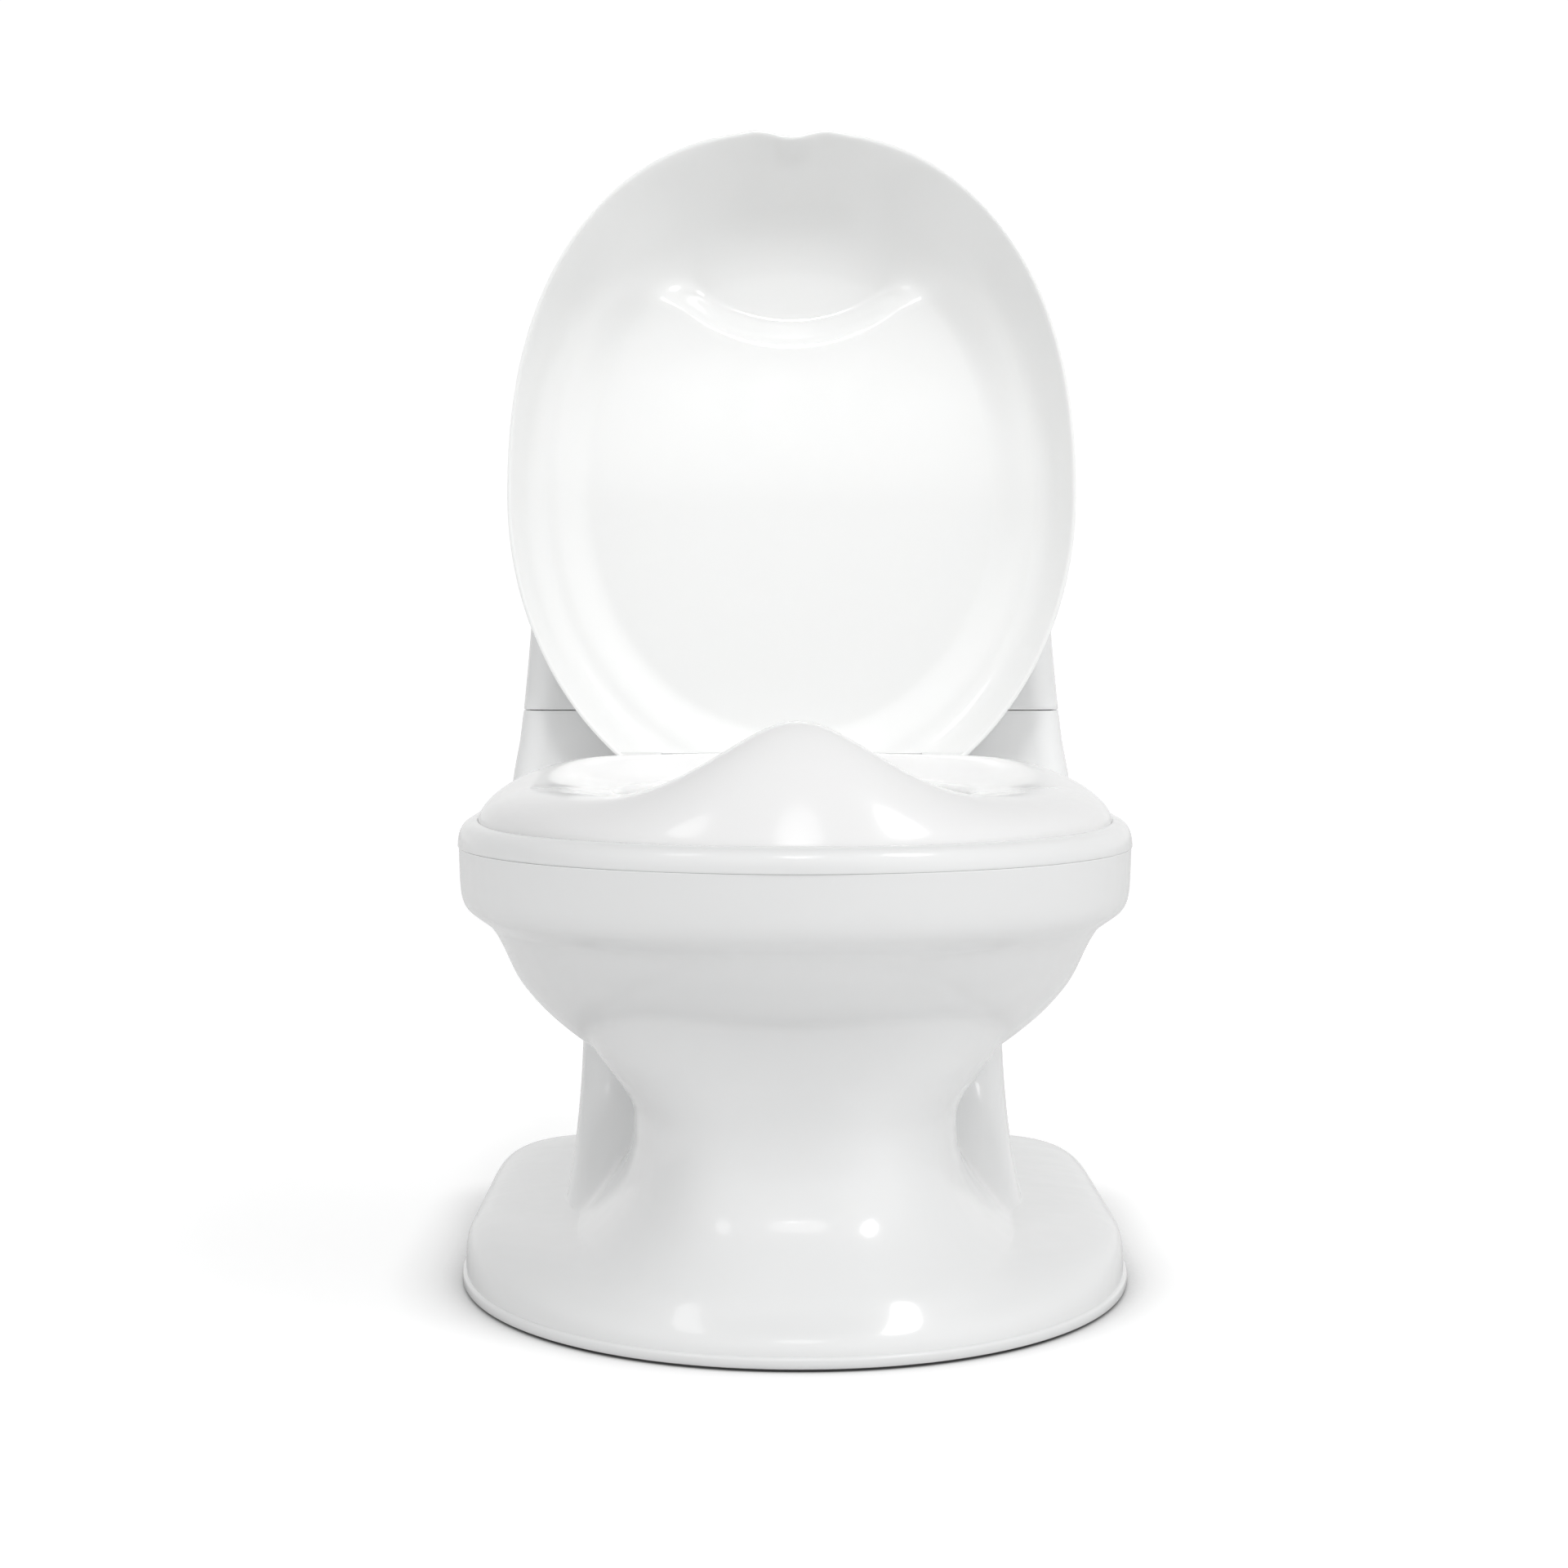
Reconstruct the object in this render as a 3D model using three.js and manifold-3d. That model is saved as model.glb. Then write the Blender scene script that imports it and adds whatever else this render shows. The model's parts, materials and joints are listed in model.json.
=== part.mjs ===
// A toilet-shaped potty training chair for a toddler, as an assembly of separate mouldings.
// Millimetres, +Z up, the front of the chair faces -Y. The origin is on the floor, in the middle of the foot.
import * as THREE from "three";
import { mergeVertices } from "three/addons/utils/BufferGeometryUtils.js";
import Module from "manifold-3d";

const wasm = await Module();
wasm.setup();

// ---- driving dimensions ----
const RIM_WIDTH = 282;
const FOOT_WIDTH = 280;
const DEPTH = 394;
const FOOT_MIDDLE_Y = -7; // the foot's widest line
const RIM_MIDDLE_Y = -22; // the widest line of the bowl and the rim
const RIM_FRONT_Y = -195;
const BACK_Y = 190; // back of the rim
const WALL = 3;
const GAP = 0.3; // left between pieces that touch
const BAND_TOP_Z = 182;
const DECK_Z = 191;
const DECK_THICKNESS = 3;

const HINGE_Y = 108;
const HINGE_Z = 205;
const LID_OPEN_DEG = 95;

const SEAT = { halfWidth: 131.5, front: -186.5, rear: 98, middle: -28, bottomZ: 191.4, lowZ: 207, rearZ: 215 };
const SPLASH_GUARD = { topZ: 237, halfWidth: 74, crestInset: 44 };
const OPENING = { halfWidth: 75, front: -124, rear: 62 };
const SEAT_CREST_INSET = 26;
const SEAT_SKIN = 3;

const LID = { halfWidth: 132.5, front: -195, middle: -23, rearReach: 155, edgeZ: 201.6, skin: 2.4 };
const LID_END = 6; // from the hinge axis to the lid's rear edge
const LID_DOME = { rear: 24, front: 34 };
const LID_POCKET = { y: -122, halfX: 70, halfY: 52, height: 13 };
const LID_NOTCH = { halfWidth: 15, depth: 3 };

const PAN_CLEARANCE = 2;
const PAN_DEPTH = 92;
const PAN_SKIN = 2.5;
const PAN_LEDGE = 6;

const TANK = { halfWidth: 127.8, frontY: 141, backY: 188, corner: 15, rearCorner: 28, seamZ: 233.5, topZ: 340 };

const PIN_RADIUS = 3;
const PIN_X = [43.2, 70.2];
const PIN_HEAD = { x: [69, 71.2], radius: 4.8 };
const PIN_HOLE = 3.3;
const KNUCKLE_RADIUS = 6.2;
const HINGE_ROOM = 13.5; // kept free of the lid's wall round the seat's knuckles and the ears
const SEAT_KNUCKLE_X = [44, 52];
const EAR_X = [52.6, 60];
const LID_KNUCKLE_X = [60.6, 68.6];
const TANK_HINGE_Y = 191.4;
const TANK_HINGE_Z = 233.6;
const TANK_KNUCKLE_RADIUS = 3.8;
const TANK_PIN_RADIUS = 1.6;
const TANK_PIN_HOLE = 1.9;

const BUTTON = { radius: 11, y: 168, proud: 3, travel: 2.5 };

const AROUND = 36; // sides of a plan outline
const ROUND = 14; // sides of a pin or a pad

// ---- finishes ----
const finish = (color, roughness, metalness = 0) => new THREE.MeshStandardMaterial({ color, roughness, metalness });
const SHELL_WHITE = finish(0xeeefef, 0.2);
const SEAT_WHITE = finish(0xf2f2f2, 0.18);
const LID_WHITE = finish(0xf0f1f0, 0.15);
const PAN_WHITE = finish(0xf4f4f2, 0.25);
const RUBBER = finish(0xd8d9d9, 0.8);
const STEEL = finish(0xb8babd, 0.35, 1);
const GREY_PLASTIC = finish(0xc9cccd, 0.45);
const BOARD_GREEN = finish(0x2f6b46, 0.5);
const CELL_GREY = finish(0x8c9094, 0.4, 0.6);
const SPEAKER_BLACK = finish(0x2a2b2d, 0.6);

// ---- solids ----
const geometryOf = (solid) => {
  const mesh = solid.getMesh();
  const corners = new THREE.BufferAttribute(new Float32Array(mesh.vertProperties), mesh.numProp);
  const faces = new THREE.BufferAttribute(new Uint32Array(mesh.triVerts), 1);
  return new THREE.BufferGeometry().setAttribute("position", corners).setIndex(faces);
};

const solidOf = (geometry) => {
  const bare = geometry.clone();
  bare.deleteAttribute("normal");
  bare.deleteAttribute("uv");
  const merged = mergeVertices(bare, 1e-4);
  const vertProperties = new Float32Array(merged.attributes.position.array);
  const triVerts = new Uint32Array(merged.index.array);
  return new wasm.Manifold(new wasm.Mesh({ numProp: 3, vertProperties, triVerts }));
};

const joined = (solids) => solids.reduce((whole, next) => whole.add(next));
const cutBy = (solid, cutters) => cutters.reduce((rest, cutter) => rest.subtract(cutter), solid);

// A closed solid through rings of equal length. Rings run counterclockwise seen from above, bottom ring first.
// With closed = true the last ring joins the first, otherwise both ends get a flat cap.
function loft(rings, closed = false) {
  const sides = rings[0].length;
  const corners = rings.flat();
  const faces = [];
  const spans = closed ? rings.length : rings.length - 1;
  for (let i = 0; i < spans; i++) {
    const low = i * sides;
    const high = ((i + 1) % rings.length) * sides;
    for (let k = 0; k < sides; k++) {
      const next = (k + 1) % sides;
      faces.push(low + k, low + next, high + next, low + k, high + next, high + k);
    }
  }
  if (!closed) {
    [0, rings.length - 1].forEach((end, isTop) => {
      const centre = corners.length;
      const middle = rings[end].reduce((sum, point) => sum.add(point), new THREE.Vector3());
      corners.push(middle.divideScalar(sides));
      for (let k = 0; k < sides; k++) {
        const a = end * sides + k;
        const b = end * sides + ((k + 1) % sides);
        faces.push(centre, isTop ? a : b, isTop ? b : a);
      }
    });
  }
  return solidOf(new THREE.BufferGeometry().setFromPoints(corners).setIndex(faces));
}

const block = (x0, x1, y0, y1, z0, z1) => {
  const box = new THREE.BoxGeometry(x1 - x0, y1 - y0, z1 - z0);
  return solidOf(box.translate((x0 + x1) / 2, (y0 + y1) / 2, (z0 + z1) / 2));
};

const post = (radius, x, y, z0, z1, sides = ROUND) => {
  const cylinder = new THREE.CylinderGeometry(radius, radius, z1 - z0, sides).rotateX(Math.PI / 2);
  return solidOf(cylinder.translate(x, y, (z0 + z1) / 2));
};

const barAlongX = (radius, x0, x1, y, z, sides = ROUND) => {
  const cylinder = new THREE.CylinderGeometry(radius, radius, x1 - x0, sides).rotateZ(Math.PI / 2);
  return solidOf(cylinder.translate((x0 + x1) / 2, y, z));
};

// A solid of revolution about a vertical line. The profile runs from the axis, up the outside, back to the axis.
const turned = (profile, x, y, z, sides = ROUND) => {
  const points = profile.map(([radius, height]) => new THREE.Vector2(radius, height));
  return solidOf(new THREE.LatheGeometry(points, sides).rotateX(Math.PI / 2).translate(x, y, z));
};

// ---- plan outlines ----
// An outline is a superellipse with its own reach and power in front of and behind its widest line.
function gauge(outline, x, y) {
  const ahead = y < outline.middle;
  const reach = ahead ? outline.middle - outline.front : outline.rear - outline.middle;
  const power = ahead ? (outline.frontPower ?? 2) : (outline.rearPower ?? 2);
  const across = Math.abs(x / outline.halfWidth) ** power;
  return (across + Math.abs((y - outline.middle) / reach) ** power) ** (1 / power);
}

// Points round an outline, counterclockwise seen from above, starting at the right-hand side.
// The squarer an outline is, the closer its points lie at the corners.
function outlineRing(outline, z, count = AROUND) {
  const bunched = (value, power) => Math.sign(value) * Math.abs(value) ** (2 / Math.min(power, 5));
  return Array.from({ length: count }, (_, k) => {
    const angle = (2 * Math.PI * k) / count;
    const ahead = Math.sin(angle) < 0;
    const long = ahead ? outline.middle - outline.front : outline.rear - outline.middle;
    const power = (ahead ? outline.frontPower : outline.rearPower) ?? 2;
    const x = bunched(Math.cos(angle), power) * outline.halfWidth;
    const y = bunched(Math.sin(angle), power) * long;
    const size = gauge(outline, x, outline.middle + y);
    return new THREE.Vector3(x / size, outline.middle + y / size, z);
  });
}

const inset = (outline, amount) => ({
  ...outline,
  halfWidth: outline.halfWidth - amount,
  front: outline.front + amount,
  rear: outline.rear - amount,
});

// The tank's plan: a box with small corners in front and large corners at the back, moved in by the wall.
const CORNER_STEPS = 4;

function tankRing(halfX, front, rear, wall, z) {
  const [x, y0, y1] = [halfX - wall, front + wall, rear - wall];
  const small = Math.min(TANK.corner - wall, 0.35 * (y1 - y0));
  const large = Math.min(TANK.rearCorner - wall, 0.6 * (y1 - y0));
  const corners = [
    [x - large, y1 - large, large],
    [large - x, y1 - large, large],
    [small - x, y0 + small, small],
    [x - small, y0 + small, small],
  ];
  return corners.flatMap(([cx, cy, radius], quarter) =>
    Array.from({ length: CORNER_STEPS + 1 }, (_, k) => {
      const angle = (Math.PI / 2) * (quarter + k / CORNER_STEPS);
      return new THREE.Vector3(cx + radius * Math.cos(angle), cy + radius * Math.sin(angle), z);
    }),
  );
}

// ---- base shell ----
const RIM = { halfWidth: RIM_WIDTH / 2, front: RIM_FRONT_Y, rear: BACK_Y, middle: RIM_MIDDLE_Y, rearPower: 9 };
const HUB_Y = 70; // every radius of the base shell starts on this vertical line
const FILLET = 10; // how widely the pedestal and the column blend

// The body's outline from the foot up to the rim: height, half width, front, rear, rear power, widest line.
const BODY_STATIONS = [
  [1, FOOT_WIDTH / 2, -DEPTH / 2, DEPTH / 2, 9, FOOT_MIDDLE_Y],
  [4.6, FOOT_WIDTH / 2, -DEPTH / 2, DEPTH / 2, 9, FOOT_MIDDLE_Y],
  [6, 138.5, -195.3, 195.4, 9, FOOT_MIDDLE_Y],
  [11, 138.4, -193, 195, 9, FOOT_MIDDLE_Y],
  [16.5, 138, -187.5, 194, 9, FOOT_MIDDLE_Y],
  [21, 136, -183, 192.5, 9, FOOT_MIDDLE_Y],
  [24.5, 131, -179.5, 190, 8, FOOT_MIDDLE_Y],
  [28.5, 112, -175, 178, 6, -8],
  [37, 91, -167, 145, 3, -9],
  [48, 77, -158.5, 112, 2.4, -10],
  [61, 69, -151.5, 100, 2.2, -12],
  [75, 67.5, -147.5, 98, 2.2, -14],
  [90, 76, -145.7, 104, 2.2, -17],
  [103, 90, -145.2, 118, 2.4, -20],
  [111, 100, -145.2, 134, 3, RIM_MIDDLE_Y],
  [120, 109.5, -147, 150, 4, RIM_MIDDLE_Y],
  [134, 119, -165, 171, 6, RIM_MIDDLE_Y],
  [142, 122.6, -174, 178.5, 7, RIM_MIDDLE_Y],
  [148.5, 126.5, -180, 181.5, 7, RIM_MIDDLE_Y],
  [153.5, 132.5, -186.7, 184.8, 8, RIM_MIDDLE_Y],
  [158, 137.6, -191.7, 187.8, 8, RIM_MIDDLE_Y],
  [168, 139.9, -193.9, 189, 9, RIM_MIDDLE_Y],
  [BAND_TOP_Z, RIM_WIDTH / 2 - 0.6, RIM_FRONT_Y + 0.5, BACK_Y - 0.4, 9, RIM_MIDDLE_Y],
];

// The column's outline behind the pedestal: height, half width, front, rear.
const COLUMN_MIDDLE_Y = 90;
const COLUMN_STATIONS = [
  [1, 99, -60, 183],
  [22, 99, -60, 184],
  [31, 98, -35, 185],
  [48, 96.4, 15, 185],
  [60, 95.6, 32, 185],
  [100, 94, 50, 185],
  [125, 91, 50, 177],
  [147, 80, 50, 160],
  [182, 60, 50, 140],
];

// The value of each column of a table at a height, between the two stations next to it.
function between(table, z) {
  const next = Math.min(Math.max(table.findIndex((row) => row[0] >= z), 1), table.length - 1);
  const [low, high] = [table[next - 1], table[next]];
  const share = (z - low[0]) / (high[0] - low[0]);
  return low.map((value, i) => value + (high[i] - value) * share);
}

function distanceToOutline(outline, dx, dy) {
  let inside = 0;
  let outside = DEPTH;
  for (let step = 0; step < 30; step++) {
    const radius = (inside + outside) / 2;
    if (gauge(outline, dx * radius, HUB_Y + dy * radius) < 1) inside = radius;
    else outside = radius;
  }
  return inside;
}

function blendedMaximum(a, b) {
  const overlap = Math.max(FILLET - Math.abs(a - b), 0) / FILLET;
  return Math.max(a, b) + (overlap * overlap * FILLET) / 4;
}

// For each direction round the hub, the wall's profile as radius and height from the floor to the top.
function bodyProfiles() {
  return outlineRing(RIM, 0).map((target) => {
    const direction = new THREE.Vector2(target.x, target.y - HUB_Y).normalize();
    const points = BODY_STATIONS.map(([z, halfWidth, front, rear, rearPower, middle]) => {
      const pedestal = { halfWidth, front, rear, middle, frontPower: 2.05, rearPower };
      const [, columnHalf, columnFront, columnRear] = between(COLUMN_STATIONS, z);
      const column = {
        halfWidth: columnHalf,
        front: columnFront,
        rear: columnRear,
        middle: COLUMN_MIDDLE_Y,
        frontPower: 3,
        rearPower: 6,
      };
      const reach = [pedestal, column].map((part) => distanceToOutline(part, direction.x, direction.y));
      return new THREE.Vector2(blendedMaximum(...reach), z);
    });
    return { direction, points };
  });
}

// The same profile moved inwards by the wall's thickness.
function innerProfile(points) {
  return points.map((point, i) => {
    const before = points[Math.max(i - 1, 0)];
    const after = points[Math.min(i + 1, points.length - 1)];
    const along = after.clone().sub(before).normalize();
    return new THREE.Vector2(point.x - along.y * WALL, point.y + along.x * WALL);
  });
}

const ringAt = (profiles, i) =>
  profiles.map(({ direction, points }) => {
    const { x: radius, y: z } = points[i];
    return new THREE.Vector3(direction.x * radius, HUB_Y + direction.y * radius, z);
  });

const SCREW_ANGLES = [35, 145, 218, 322]; // round the middle of the bowl, from +X
const SCREW_INSET = 12;
const LUG_Z = 172;
const LUG_THICKNESS = 4;
const LUG_RADIUS = 10;
const LUG_HOLE = 2.4;

const screwPlaces = SCREW_ANGLES.map((degrees) => {
  const angle = THREE.MathUtils.degToRad(degrees);
  const outline = inset(RIM, SCREW_INSET);
  const size = gauge(outline, Math.cos(angle), RIM_MIDDLE_Y + Math.sin(angle));
  return [Math.cos(angle) / size, RIM_MIDDLE_Y + Math.sin(angle) / size];
});

const PAD_RADIUS = 7;
const PAD_HEIGHT = 1.5;
const PAD_SEAT_THICKNESS = 3;
const PAD_SEAT_RADIUS = 18;
const PAD_PLACES = [
  ["front_left", -74, -142],
  ["front_right", 74, -142],
  ["rear_left", -114, 169],
  ["rear_right", 114, 169],
];

function baseShell() {
  const outside = bodyProfiles();
  const inside = outside.map(({ direction, points }) => ({ direction, points: innerProfile(points) }));
  const outer = loft(BODY_STATIONS.map((_, i) => ringAt(outside, i)));
  // The small step under the shoulder is left out inside, so that the wall stays even.
  const innerSteps = BODY_STATIONS.map((_, i) => i).filter((i) => i > 3);
  const floorRing = ringAt(inside, 4).map((point) => point.setZ(0));
  const topRing = ringAt(inside, BODY_STATIONS.length - 1).map((point) => point.setZ(BAND_TOP_Z + 1));
  const inner = loft([floorRing, ...innerSteps.map((i) => ringAt(inside, i)), topRing]);
  const padBottom = PAD_HEIGHT + GAP;
  const padSeats = PAD_PLACES.map(([, x, y]) =>
    post(PAD_SEAT_RADIUS, x, y, padBottom, padBottom + PAD_SEAT_THICKNESS).intersect(outer),
  );
  const lugs = screwPlaces.map(([x, y]) => post(LUG_RADIUS, x, y, LUG_Z, LUG_Z + LUG_THICKNESS).intersect(outer));
  const holes = screwPlaces.map(([x, y]) => post(LUG_HOLE, x, y, LUG_Z - 1, LUG_Z + LUG_THICKNESS + 1));
  return cutBy(joined([outer.subtract(inner), ...padSeats, ...lugs]), holes);
}

// ---- upper shell: rim deck, lower tank wall, hinge ears ----
const RIM_ROUND = [
  [0, BAND_TOP_Z + GAP],
  [0.3, 186],
  [1.5, 189],
  [3.6, 190.5],
  [6.5, DECK_Z],
];

// The tank's lower wall: height, half width, front.
const TANK_LOWER = [
  [DECK_Z - 1, 135, 134],
  [198, 133, 138.5],
  [207, 131.8, 140.4],
  [218, 129.6, 141],
  [TANK.seamZ, TANK.halfWidth, TANK.frontY],
];
const SCREW_BOSS_RADIUS = 5;
const SCREW_BOSS_HOLE = 1.9;

const panHole = () => ({
  halfWidth: OPENING.halfWidth - PAN_CLEARANCE - PAN_LEDGE,
  front: OPENING.front + PAN_CLEARANCE + PAN_LEDGE,
  rear: OPENING.rear - PAN_CLEARANCE - PAN_LEDGE,
  middle: (OPENING.front + OPENING.rear) / 2,
});

const bothSides = (make) => [make(1), make(-1)];
const spanX = (side, [a, b]) => (side > 0 ? [a, b] : [-b, -a]);

function hingeEar(side) {
  const [x0, x1] = spanX(side, EAR_X);
  const plate = block(x0, x1, HINGE_Y - KNUCKLE_RADIUS, HINGE_Y + KNUCKLE_RADIUS, DECK_Z - 1, HINGE_Z);
  return plate.add(barAlongX(KNUCKLE_RADIUS, x0, x1, HINGE_Y, HINGE_Z));
}

const TANK_EAR_X = [70, 78];
const TANK_KNUCKLE_X = [78.6, 86.6];
const TANK_PIN_X = [68, 88];

function tankEar(side) {
  const [x0, x1] = spanX(side, TANK_EAR_X);
  const arm = block(x0, x1, TANK.backY - 1, TANK_HINGE_Y + 1, TANK_HINGE_Z - 9, TANK_HINGE_Z - 1);
  return arm.add(barAlongX(TANK_KNUCKLE_RADIUS, x0, x1, TANK_HINGE_Y, TANK_HINGE_Z, 12));
}

function upperShell() {
  const rim = loft(RIM_ROUND.map(([step, z]) => outlineRing(inset(RIM, step), z)));
  const under = loft([
    outlineRing(inset(RIM, WALL), BAND_TOP_Z - 1),
    outlineRing(inset(RIM, WALL + 3), DECK_Z - DECK_THICKNESS),
  ]);
  const tankOuter = loft(TANK_LOWER.map(([z, half, front]) => tankRing(half, front, TANK.backY, 0, z)));
  const tankInner = loft(
    [
      [DECK_Z + 1, WALL + 3],
      [200, WALL + 2],
      [212, WALL],
      [TANK.seamZ + 1, WALL],
    ].map(([z, wall]) => {
      const [, half, front] = between(TANK_LOWER, Math.min(z, TANK.seamZ));
      return tankRing(half, front, TANK.backY, wall, z);
    }),
  );
  const collar = loft([outlineRing(inset(panHole(), -WALL), 181), outlineRing(inset(panHole(), -WALL), DECK_Z - 1)]);
  const hole = loft([outlineRing(panHole(), 180), outlineRing(panHole(), DECK_Z + 1)]);
  const bosses = screwPlaces.map(([x, y]) =>
    post(SCREW_BOSS_RADIUS, x, y, LUG_Z + LUG_THICKNESS + GAP, DECK_Z - DECK_THICKNESS + 1),
  );
  const bossHoles = screwPlaces.map(([x, y]) => post(SCREW_BOSS_HOLE, x, y, LUG_Z, DECK_Z - DECK_THICKNESS));
  const body = joined([rim.subtract(under), collar, ...bosses, tankOuter, ...bothSides(hingeEar)]);
  const hollowed = cutBy(body, [tankInner, hole, ...bossHoles]);
  const withEars = joined([hollowed, ...bothSides(tankEar)]);
  const pinHoles = [
    barAlongX(PIN_HOLE, -EAR_X[1] - 1, EAR_X[1] + 1, HINGE_Y, HINGE_Z),
    barAlongX(TANK_PIN_HOLE, -TANK_EAR_X[1] - 1, TANK_EAR_X[1] + 1, TANK_HINGE_Y, TANK_HINGE_Z, 12),
  ];
  // The ears' barrels would otherwise close on the cover's knuckles, so the wall is relieved beside them.
  const reliefs = bothSides((side) => {
    const [x0, x1] = spanX(side, [TANK_KNUCKLE_X[0] - 0.3, TANK_KNUCKLE_X[1] + 0.6]);
    return barAlongX(TANK_KNUCKLE_RADIUS + 0.5, x0, x1, TANK_HINGE_Y, TANK_HINGE_Z, 12);
  });
  return cutBy(withEars, [...pinHoles, ...reliefs]);
}

// ---- seat ring ----
const SEAT_SIDES = 44;
const SEAT_OUTLINE = {
  halfWidth: SEAT.halfWidth,
  front: SEAT.front,
  rear: SEAT.rear,
  middle: SEAT.middle,
  rearPower: 2.2,
};
const OPENING_OUTLINE = {
  halfWidth: OPENING.halfWidth,
  front: OPENING.front,
  rear: OPENING.rear,
  middle: (OPENING.front + OPENING.rear) / 2,
};

const bell = (x) => (Math.abs(x) < 1 ? Math.cos((Math.PI / 2) * x) ** 2 : 0);

// The seat's crest beside a point of the outer edge: height, distance from the edge, and the flank's power.
function seatCrest(edge) {
  const backwards = THREE.MathUtils.smoothstep(edge.y, -60, 60);
  const guard = edge.y < SEAT.middle ? bell(edge.x / SPLASH_GUARD.halfWidth) : 0;
  const z = SEAT.lowZ + (SEAT.rearZ - SEAT.lowZ) * backwards;
  return {
    z: z + (SPLASH_GUARD.topZ - z) * guard,
    inset: SEAT_CREST_INSET + (SPLASH_GUARD.crestInset - SEAT_CREST_INSET) * guard,
    power: FLANK_POWER.sides + (FLANK_POWER.guard - FLANK_POWER.sides) * Math.sqrt(guard),
  };
}

const OUTER_STEPS = [0, 0.04, 0.16, 0.4, 0.7, 1];
const INNER_STEPS = [0.3, 0.65, 0.88, 1];
const OPENING_EDGE_Z = 203;
const FLANK_POWER = { sides: 0.42, guard: 0.97 }; // a lower power makes a steeper, rounder flank

// The seat's cross-section from its outer edge, over the crest, to the opening.
function seatSkin(edge, lip) {
  const crest = seatCrest(edge);
  const width = edge.distanceTo(lip);
  const at = (distance, z) => {
    const point = edge.clone().lerp(lip, distance / width);
    return point.setZ(z);
  };
  const outer = OUTER_STEPS.map((t) => {
    const rise = Math.sin((Math.PI / 2) * t) ** crest.power;
    return at(crest.inset * t, SEAT.bottomZ + (crest.z - SEAT.bottomZ) * rise);
  });
  const inner = INNER_STEPS.map((t) => {
    const fall = (1 - Math.cos(Math.PI * t)) / 2;
    return at(crest.inset + (width - crest.inset) * t, crest.z + (OPENING_EDGE_Z - crest.z) * fall);
  });
  return [...outer, ...inner];
}

function seatRing() {
  const edges = outlineRing(SEAT_OUTLINE, 0, SEAT_SIDES);
  const lips = outlineRing(OPENING_OUTLINE, 0, SEAT_SIDES);
  const sections = edges.map((edge, k) => {
    const skin = seatSkin(edge, lips[k]);
    const inwards = lips[k].clone().sub(edge).setZ(0).normalize();
    const lip = lips[k].clone().setZ(SEAT.bottomZ);
    const back = skin.slice(1).reverse().map((point, i, all) => {
      const share = i / (all.length - 1);
      const shift = inwards.clone().multiplyScalar(SEAT_SKIN * (2 * share - 1));
      return point.clone().add(shift).setZ(Math.max(point.z - SEAT_SKIN, SEAT.bottomZ + 0.5));
    });
    const lipInside = lip.clone().sub(inwards.clone().multiplyScalar(SEAT_SKIN));
    const edgeInside = edge.clone().add(inwards.clone().multiplyScalar(SEAT_SKIN)).setZ(SEAT.bottomZ);
    return [...skin, lip, lipInside, ...back, edgeInside].reverse();
  });
  // The sections run round the ring, so the loft closes on itself.
  const ring = loft(sections, true);
  const knuckles = bothSides((side) => {
    const [x0, x1] = spanX(side, SEAT_KNUCKLE_X);
    const arm = block(x0, x1, SEAT.rear - 16, HINGE_Y, SEAT.bottomZ + 5, HINGE_Z + 3);
    return arm.add(barAlongX(KNUCKLE_RADIUS, x0, x1, HINGE_Y, HINGE_Z));
  });
  const whole = joined([ring, ...knuckles]);
  return whole.subtract(barAlongX(PIN_HOLE, -SEAT_KNUCKLE_X[1] - 1, SEAT_KNUCKLE_X[1] + 1, HINGE_Y, HINGE_Z));
}

// ---- lid, modelled shut ----
const LID_SIDES = 40;
const LID_OUTLINE = {
  halfWidth: LID.halfWidth,
  front: LID.front,
  rear: LID.middle + LID.rearReach,
  middle: LID.middle,
  frontPower: 2.3,
};

// Share of the dome's height at a distance from the lid's edge.
const domeShare = (distance) => 1 - Math.max(1 - distance / 42, 0) ** 2.4;

function lidHeight(x, y, distance) {
  const pocketX = x / LID_POCKET.halfX;
  const pocketY = (y - LID_POCKET.y) / LID_POCKET.halfY;
  const pocket = bell(Math.min(Math.hypot(pocketX, pocketY), 1)) ** 0.6;
  const frontShare = THREE.MathUtils.smoothstep(-y, 20, 120);
  const dome = THREE.MathUtils.lerp(LID_DOME.rear, LID_DOME.front, frontShare);
  return LID.edgeZ + dome * domeShare(distance) + LID_POCKET.height * pocket;
}

const LID_RINGS = [0, 2, 7, 15, 27, 42, 62, 86, 112];

function lidSurface(drop, edgeInset) {
  return LID_RINGS.map((distance) => {
    const scale = 1 - (distance + edgeInset) / LID.halfWidth;
    return outlineRing(LID_OUTLINE, 0, LID_SIDES).map((edge) => {
      const x = edge.x * scale;
      const y = LID.middle + (edge.y - LID.middle) * scale;
      return new THREE.Vector3(x, y, lidHeight(x, y, distance) - drop);
    });
  });
}

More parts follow.
